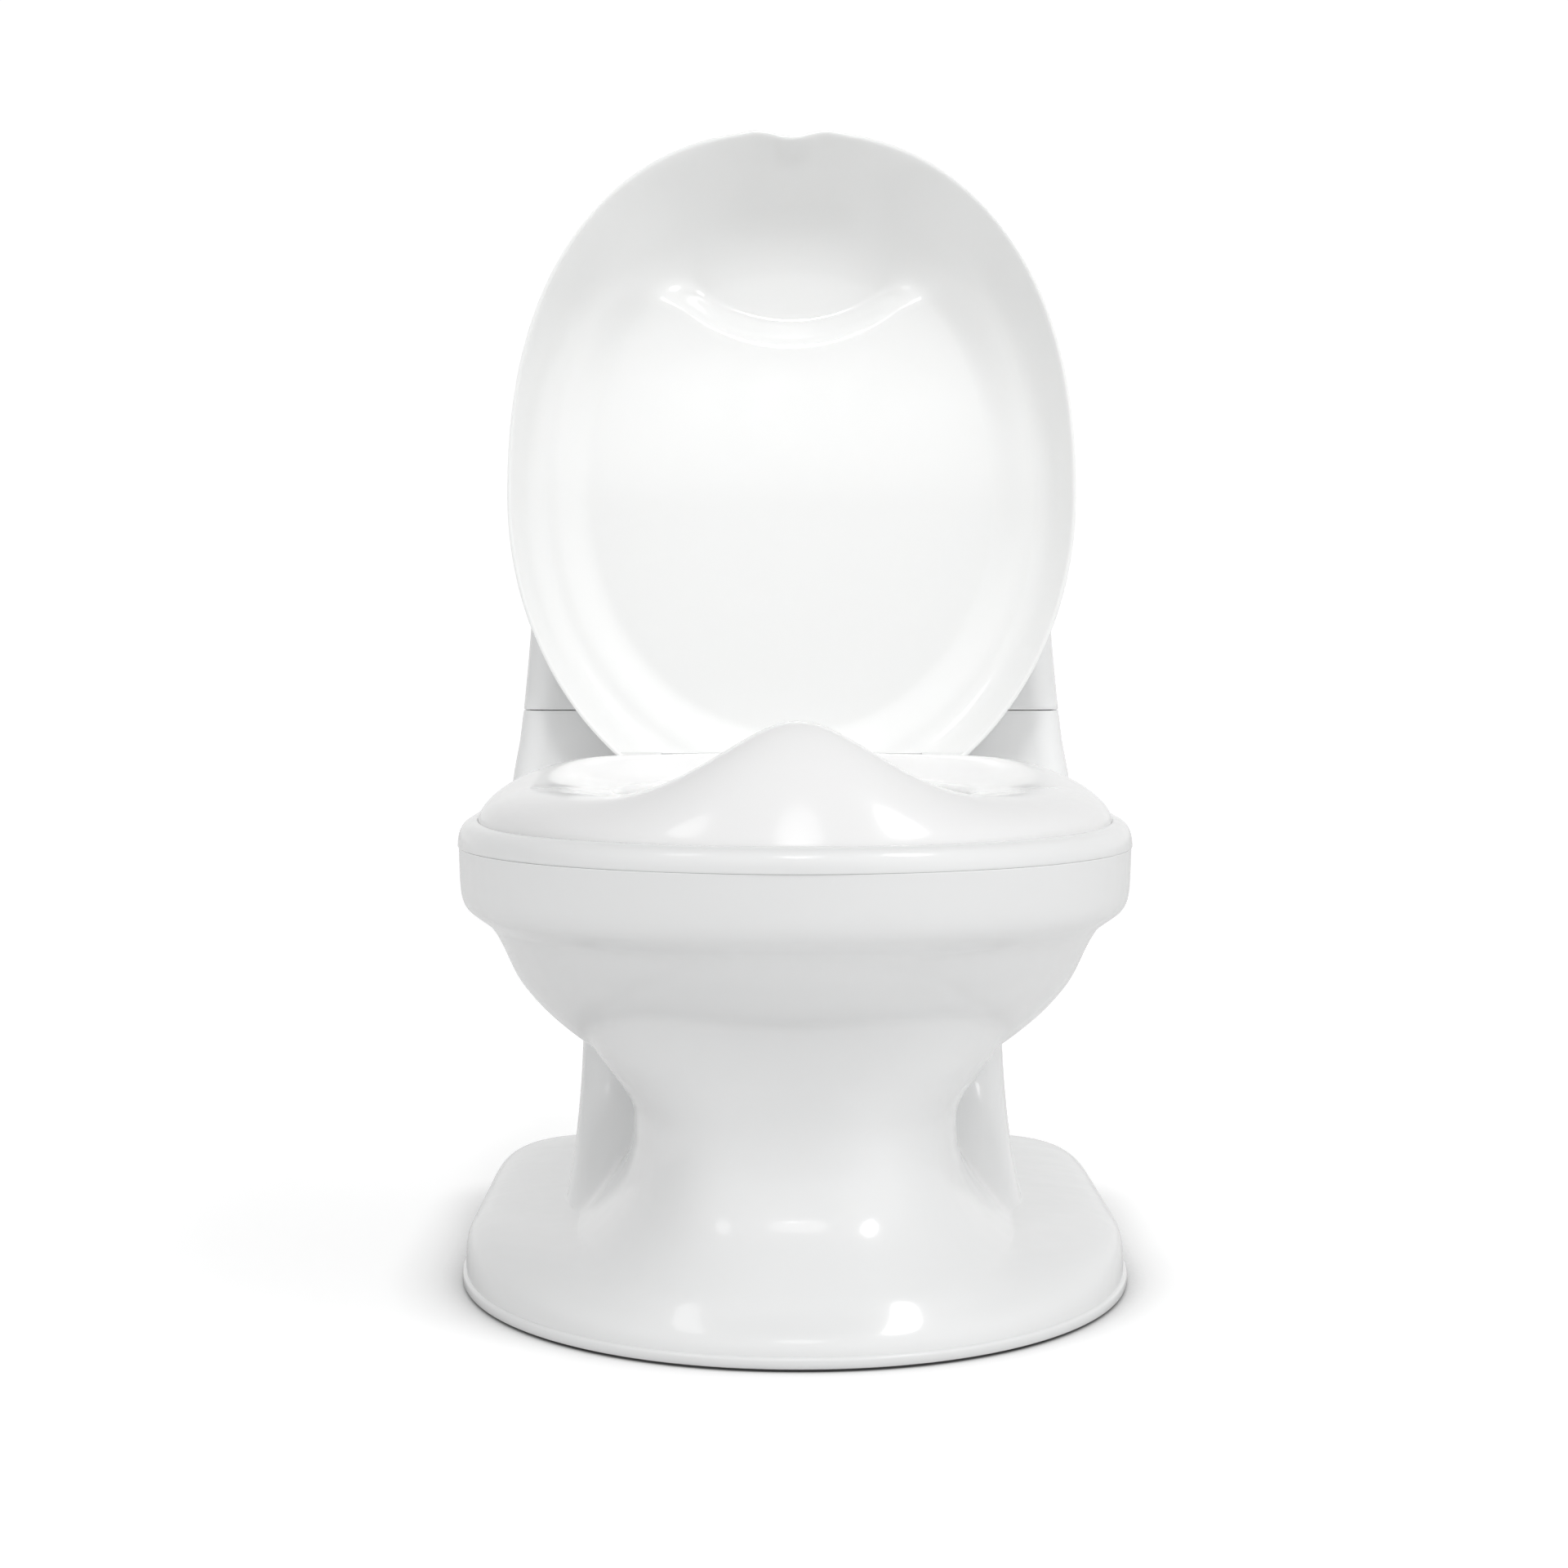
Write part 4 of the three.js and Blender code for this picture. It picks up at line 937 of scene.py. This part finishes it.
def lid_shell():
    distances = lid_distances()
    inside = [lid_ring(d, LID_LIP, 0, None) for d in distances]
    outside = [lid_ring(d, 0, -LID_SKIN, None) for d in distances]
    edge = [lid_ring(0, LID_LIP, 0, 0.1), lid_ring(0, LID_LIP - 0.4, 0, -0.15), lid_ring(0, 0.5, 0, -0.15)]
    edge += [lid_ring(0, 0.1, 0, 0.1), lid_ring(0, 0, 0, 0.7)]
    rings = np.array(inside[::-1] + edge + outside)
    shell = loft("lid_fine", rings)
    rear_cut = block("rear_cut", (-200, 200), (LID_END, LID_END + 100), (150, 300))
    cut(shell, rear_cut)
    plug_rings = [lid_ring(0, 0.8, 0, 0.6)] + [lid_ring(d, 0.8, -1.2, None) for d in distances]
    plug = loft("plug", np.array(plug_rings))
    wall = block("rear_wall", (-200, 200), (LID_END - 4, LID_END), (150, 300))
    combine(plug, [wall], "INTERSECT")
    join(shell, plug)
    rooms = []
    knuckles = []
    for side in SIDES:
        room_x = span(side, (SEAT_KNUCKLE_X[0] - 0.6, EAR_X[1] + 0.2))
        rooms.append(bar("hinge_room", HINGE_ROOM, *room_x, HINGE[1], HINGE[2]))
        x = span(side, LID_KNUCKLE_X)
        arm = block("arm", x, (HINGE[1] - 9, HINGE[1]), (HINGE[2] - 1, HINGE[2] + KNUCKLE))
        knuckles.append(join(arm, bar("barrel", KNUCKLE, *x, HINGE[1], HINGE[2])))
    join(shell, *knuckles)
    reach = LID_KNUCKLE_X[1] + 1
    cut(shell, *rooms, bar("pin_hole", PIN_HOLE, -reach, reach, HINGE[1], HINGE[2]))
    open_up(shell)
    return dress(shell, "lid", "lid")


def open_up(obj):
    """Turns a mesh shaped with the lid shut to where the lid stands open."""
    points = np.zeros(len(obj.data.vertices) * 3)
    obj.data.vertices.foreach_get("co", points)
    points = points.reshape(-1, 3) / MM - HINGE
    cosine, sine = math.cos(-LID_OPEN), math.sin(-LID_OPEN)
    y = points[:, 1] * cosine - points[:, 2] * sine
    z = points[:, 1] * sine + points[:, 2] * cosine
    turned = np.stack([points[:, 0], y, z], axis=-1) + HINGE
    obj.data.vertices.foreach_set("co", (turned * MM).ravel())
    obj.data.update()


# ---- pan ----
PAN_TOP = DECK_TOP + GAP
PAN_STEPS = [[-92, 42], [-91, 33], [-87, 24], [-80, 17.5], [-72, 13], [-45, 7], [-12, 3], [0, 0]]
PAN_SKIN = 2.5
PAN_PLAY = 1.5  # between the pan and the edge of its hole
PAN_AROUND = 160


def pan_ring(step, z):
    return at_height(angle_ring(inset(PAN_HOLE, PAN_PLAY + step), PAN_AROUND), PAN_TOP + z)


def pan():
    rows = spline_rows(PAN_STEPS, 1.6)
    outside = [pan_ring(step, z) for z, step in rows]
    inside = [pan_ring(step + PAN_SKIN, z + PAN_SKIN) for z, step in rows]
    flange = inset(OPENING, 2)
    lip = []
    for step, z in [(0.3, 0), (0, 0.4), (0, 1.7), (0.25, 2.25), (0.9, PAN_SKIN)]:
        lip.append(at_height(angle_ring(inset(flange, step), PAN_AROUND), PAN_TOP + z))
    rounding = [pan_ring(1.2, PAN_SKIN), pan_ring(1.9, PAN_SKIN - 0.3), pan_ring(2.35, PAN_SKIN - 0.9)]
    rings = outside + lip + rounding + inside[::-1][1:]
    piece = loft("pan_fine", rings)
    return dress(piece, "pan", "pan")


# ---- tank cover ----
# Rise above the seam, half width, and how far the front steps back.
COVER_STATIONS = [[0.9, 127.6, 0], [26, 125.4, 1.6], [60, 123, 4.2], [88, 121, 6.6], [97, 120.2, 7.4]]
COVER_TOP = COVER_HIGH[2]
REAR_LEAN = 0.4
BUTTON_Y = 168.0
BUTTON_RADIUS = 11.0
MODULE_HALF = 47.5
MODULE_TOP = 325.0
STEM_LOW = MODULE_TOP + 6.8  # lower end of the button's stem: 0.3 over the switch when pressed


def cover_ring(rise, half, setback, wall, z=None):
    height = SEAM_Z + rise if z is None else z
    return tank_ring(half, TANK_FRONT + setback, TANK_BACK - setback * REAR_LEAN, wall, height)


def tank_cover():
    rows = spline_rows(COVER_STATIONS, 2.0).tolist()
    rings = [cover_ring(GAP, 127.1, 0.5, 0), cover_ring(GAP + 0.1, 127.5, 0.1, 0)]
    rings += [cover_ring(*row, 0) for row in rows]
    low, half, setback = rows[-1]
    rise = COVER_TOP - SEAM_Z - low
    for angle in np.linspace(0, math.pi / 2, 15)[1:]:
        across = 1 - math.cos(angle)
        up = math.sin(angle)
        rings.append(cover_ring(low + (rise - 0.6) * up, half - 6.4 * across, setback + 6 * across, 0))
    last = (half - 6.4, setback + 6)
    for wall, up in [(1.5, 0.12), (4, 0.3), (7, 0.45), (10, 0.55), (13, 0.6)]:
        rings.append(cover_ring(low + rise - 0.6 + up, *last, wall))
    cover = loft("tank_cover_fine", rings)
    inner_rows = [row for row in rows[::6] if row[0] < 96]
    hollow = [cover_ring(-2, TANK_HALF, 0, WALL)] + [cover_ring(*row, WALL) for row in inner_rows]
    hollow += [cover_ring(low, half, setback, WALL), cover_ring(low + 4, half - 1, setback + 1.2, WALL + 0.5)]
    hollow.append(cover_ring(low + 6, half - 3, setback + 3, WALL + 1))
    cut(cover, loft("hollow", hollow), post("hole", BUTTON_RADIUS + 0.5, 0, BUTTON_Y, 300, COVER_TOP + 5, 96))
    hangers = []
    for side in SIDES:
        x = side * (MODULE_HALF - 5)
        hangers.append(post("hanger", 3.5, x, BUTTON_Y, MODULE_TOP + GAP, COVER_TOP - 2))
    join(cover, *hangers)
    beside = (TANK_EAR_X[0] - 0.6, TANK_EAR_X[1] + 0.3)
    cut(cover, *[relief(side, beside) for side in SIDES])
    knuckles = []
    for side in SIDES:
        x = span(side, TANK_KNUCKLE_X)
        y = (TANK_BACK - 2, TANK_HINGE[1] + 1)
        arm = block("arm", x, y, (TANK_HINGE[2] + 1, TANK_HINGE[2] + 9))
        knuckles.append(join(arm, bar("barrel", TANK_KNUCKLE, *x, TANK_HINGE[1], TANK_HINGE[2])))
    join(cover, *knuckles)
    cut(cover, bar("pin_hole", TANK_PIN_HOLE, -TANK_PIN_X[1], TANK_PIN_X[1], TANK_HINGE[1], TANK_HINGE[2]))
    return dress(cover, "tank_cover", "shell")


def flush_button():
    """Dished cap with a rounded rim, a skirt and the flange that keeps it in the cover."""
    top = box_mm("flush_button")[1][2]
    flange_top = COVER_TOP - 9.5
    profile = [[BUTTON_RADIUS - 2, flange_top - 1.6], [13.0, flange_top - 1.6], [13.2, flange_top - 1.4]]
    profile += [[13.2, flange_top - 0.2], [13.0, flange_top], [BUTTON_RADIUS, flange_top]]
    for angle in np.linspace(0, math.pi / 2, 8):
        profile.append([BUTTON_RADIUS - 1.5 + 1.5 * math.cos(angle), top - 1.5 + 1.5 * math.sin(angle)])
    for radius in (9, 8.2, 7.2, 6, 4.5, 3, 1.5):
        profile.append([radius, top - 1.1 * (1 - (radius / 9.5) ** 2) ** 0.8])
    body = revolve("flush_button_fine", profile, (0, BUTTON_Y, 0), "z", 96)
    skirt = post("skirt", BUTTON_RADIUS - 2, 0, BUTTON_Y, flange_top - 5, top - 4, 96)
    cut(body, skirt)
    join(body, post("stem", 2, 0, BUTTON_Y, STEM_LOW, top - 3, 32))
    return dress(body, "flush_button", "grey")


# ---- pads, bumpers, pins and screws ----
def small_parts():
    for node in pad_places():
        low, high = box_mm(node)
        x, y = (low + high)[:2] / 2
        radius = high[0] - x
        profile = [[0.6, 0.25], [3.2, 0.25], [3.6, 0], [radius - 1.2, 0], [radius - 0.5, 0.12]]
        profile += [[radius - 0.1, 0.5], [radius, 0.9], [radius, high[2]]]
        dress(revolve(node + "_fine", profile, (x, y, 0)), node, "rubber")
    for node in [n for n in frame["nodes"] if n.startswith("seat_bumper")]:
        low, high = box_mm(node)
        x, y = (low + high)[:2] / 2
        radius = high[0] - x
        profile = [[radius - 1.4, low[2]], [radius - 0.5, low[2] + 0.3], [radius, low[2] + 1.2]]
        profile += [[radius, high[2] - 0.4], [radius - 0.4, high[2]]]
        dress(revolve(node + "_fine", profile, (x, y, 0)), node, "rubber")
    for name, side in (("left", -1), ("right", 1)):
        node = "hinge_pin_" + name
        shank = rounded_bar(node + "_fine", PIN_RADIUS, *span(side, PIN_X), HINGE[1], HINGE[2])
        head = rounded_bar("head", PIN_HEAD_RADIUS, *span(side, PIN_HEAD_X), HINGE[1], HINGE[2], 0.8)
        dress(join(shank, head), node, "grey")
        node = "tank_hinge_pin_" + name
        x = span(side, TANK_PIN_X)
        pin = rounded_bar(node + "_fine", TANK_PIN_RADIUS, *x, TANK_HINGE[1], TANK_HINGE[2], 0.4, 40)
        dress(pin, node, "steel")


KEPT_NODES = {
    "button_spring": "steel",
    "sound_module_case": "module",
    "circuit_board": "board",
    "tact_switch": "black",
    "speaker": "black",
    "battery_left": "cell",
    "battery_right": "cell",
    "battery_door": "module",
    "battery_door_screw": "steel",
    "shell_screw_1": "steel",
    "shell_screw_2": "steel",
    "shell_screw_3": "steel",
    "shell_screw_4": "steel",
}
SMALL_EDGE = 0.25


def keep_small_nodes():
    """Hidden hardware keeps its CAD mesh, with fine bevels and its own material."""
    for node, look in KEPT_NODES.items():
        obj = frame["nodes"][node]
        for place in obj.material_slots:
            place.material = LOOKS[look]
        if node == "button_spring":
            obj.data.shade_smooth()
            continue
        step = obj.modifiers.new("edges", "BEVEL")
        step.width = SMALL_EDGE * MM
        step.segments = 2
        step.limit_method = "ANGLE"
        step.angle_limit = math.radians(40)


# ---- stage ----
FLOOR_LIFT = 0.37  # glow of the floor for the camera alone, so that it runs into the white background
CONTACT_SHADOW_REACH = 0.035  # metres round the foot in which a contact shadow is painted into the floor's colour and glow
SKY_LEVEL = 0.18
# Soft light from all round: where it comes from, how narrow it is, and its strength.
SKY = [
    [(0, -0.7, 0.7), 4, 0.5],
    [(0.7, -0.5, 0.5), 4, 0.8],
    [(-0.7, -0.5, 0.5), 4, 0.8],
    [(1, 0, 0), 2, 0.6],
    [(-1, 0, 0), 2, 0.2],
    [(0, 1, 0), 2, 0.7],
]


def floor():
    size = 60.0
    points = [(-size, -size, 0), (size, -size, 0), (size, size, 0), (-size, size, 0)]
    mesh = bpy.data.meshes.new("floor")
    mesh.from_pydata(points, [], [(0, 1, 2, 3)])
    plane = bpy.data.objects.new("floor", mesh)
    bpy.context.scene.collection.objects.link(plane)
    material, nodes, links, shader = node_material("pale_floor")
    cloud = noise(nodes, links, 3, 2)
    # Painted contact shadow: an ambient-occlusion node darkens the floor's colour and its camera-only glow
    # near the foot.
    painted_contact_shadow = nodes.new("ShaderNodeAmbientOcclusion")
    painted_contact_shadow.samples = 8
    painted_contact_shadow.inputs["Distance"].default_value = CONTACT_SHADOW_REACH
    links.new(tint(nodes, links, cloud, (0.9, 0.9, 0.9), 0.004), painted_contact_shadow.inputs["Color"])
    links.new(painted_contact_shadow.outputs["Color"], shader.inputs["Base Color"])
    shader.inputs["Roughness"].default_value = 0.6
    links.new(painted_contact_shadow.outputs["Color"], shader.inputs["Emission Color"])
    links.new(seen_by_camera(nodes, links, 0.0, FLOOR_LIFT), shader.inputs["Emission Strength"])
    mesh.materials.append(material)


def aimed(name, data, place, target):
    light = bpy.data.objects.new(name, data)
    light.location = place
    away = np.asarray(target, float) - np.asarray(place, float)
    light.rotation_mode = "QUATERNION"
    light.rotation_quaternion = Vector(away).to_track_quat("-Z", "Y")
    bpy.context.scene.collection.objects.link(light)
    return light


def area_light(name, place, target, size, power):
    data = bpy.data.lights.new(name, "AREA")
    data.shape = "ELLIPSE"
    data.size, data.size_y = size
    data.energy = power
    return aimed(name, data, place, target)


def glow_from(nodes, links, direction, place, narrowness, strength):
    """Light that is strongest from one direction and fades away from it."""
    toward = nodes.new("ShaderNodeVectorMath")
    toward.operation = "DOT_PRODUCT"
    toward.inputs[1].default_value = direction
    links.new(place, toward.inputs[0])
    value = toward.outputs["Value"]
    for operation, amount in [("MAXIMUM", 0), ("POWER", narrowness), ("MULTIPLY", strength)]:
        step = nodes.new("ShaderNodeMath")
        step.operation = operation
        step.inputs[1].default_value = amount
        links.new(value, step.inputs[0])
        value = step.outputs["Value"]
    return value


def summed(nodes, links, values):
    total = values[0]
    for value in values[1:]:
        step = nodes.new("ShaderNodeMath")
        step.operation = "ADD"
        links.new(total, step.inputs[0])
        links.new(value, step.inputs[1])
        total = step.outputs["Value"]
    return total


def seen_by_camera(nodes, links, otherwise, seen):
    path = nodes.new("ShaderNodeLightPath")
    choose = nodes.new("ShaderNodeMix")
    choose.data_type = "FLOAT"
    links.new(path.outputs["Is Camera Ray"], choose.inputs["Factor"])
    if isinstance(otherwise, float):
        choose.inputs[2].default_value = otherwise
    else:
        links.new(otherwise, choose.inputs[2])
    choose.inputs[3].default_value = seen
    return choose.outputs[0]


def world_light():
    """White all round for the camera; as light, an even level with a few broad soft sources in it."""
    world = bpy.data.worlds.new("studio")
    bpy.context.scene.world = world
    world.use_nodes = True
    nodes, links = world.node_tree.nodes, world.node_tree.links
    background = nodes["Background"]
    place = nodes.new("ShaderNodeTexCoord").outputs["Generated"]
    level = nodes.new("ShaderNodeValue")
    level.outputs["Value"].default_value = SKY_LEVEL
    parts = [level.outputs["Value"]]
    for direction, narrowness, strength in SKY:
        parts.append(glow_from(nodes, links, Vector(direction).normalized(), place, narrowness, strength))
    light = summed(nodes, links, parts)
    links.new(seen_by_camera(nodes, links, light, 1.05), background.inputs["Strength"])
    background.inputs["Color"].default_value = (1, 1, 1, 1)


def spot_light(name, place, target, angle, power):
    data = bpy.data.lights.new(name, "SPOT")
    data.energy = power
    data.spot_size = math.radians(angle)
    data.spot_blend = 1.0
    data.shadow_soft_size = 0.12
    return aimed(name, data, place, target)


def studio():
    floor()
    world_light()
    area_light("left", (-0.8, -0.6, 1.3), (0, -0.15, 0.05), (0.3, 0.36), 0.45)
    area_light("middle", (0.02, -1.0, 1.4), (0, -0.15, 0.05), (0.4, 0.34), 0.5)
    area_light("right", (0.8, -0.62, 1.35), (0, -0.15, 0.05), (0.36, 0.42), 2.2)
    spot_light("lid_light", (0, -0.9, 1.25), (0, 0.12, 0.25), 22, 20)
    scene = bpy.context.scene
    scene.view_settings.view_transform = "Standard"
    scene.view_settings.look = "None"
    scene.view_settings.exposure = 0.0
    scene.view_settings.gamma = 1.0


CAMERA_AHEAD = 1347.0
CAMERA_HEIGHT = 272.6
CAMERA_SIDE = -12.7
CAMERA_LENS = 72.15
CAMERA_SHIFT = (0.0125, -0.0995)  # the horizon lies above the middle of the picture


def camera():
    data = bpy.data.cameras.new("camera")
    data.lens = CAMERA_LENS
    data.sensor_width = 36
    data.shift_x, data.shift_y = CAMERA_SHIFT
    eye = bpy.data.objects.new("camera", data)
    eye.location = (CAMERA_SIDE * MM, -CAMERA_AHEAD * MM, CAMERA_HEIGHT * MM)
    eye.rotation_euler = (math.pi / 2, 0, 0)
    bpy.context.scene.collection.objects.link(eye)
    bpy.context.scene.camera = eye


base_shell()
upper_shell()
seat_ring()
lid_shell()
pan()
tank_cover()
flush_button()
small_parts()
keep_small_nodes()
studio()
camera()
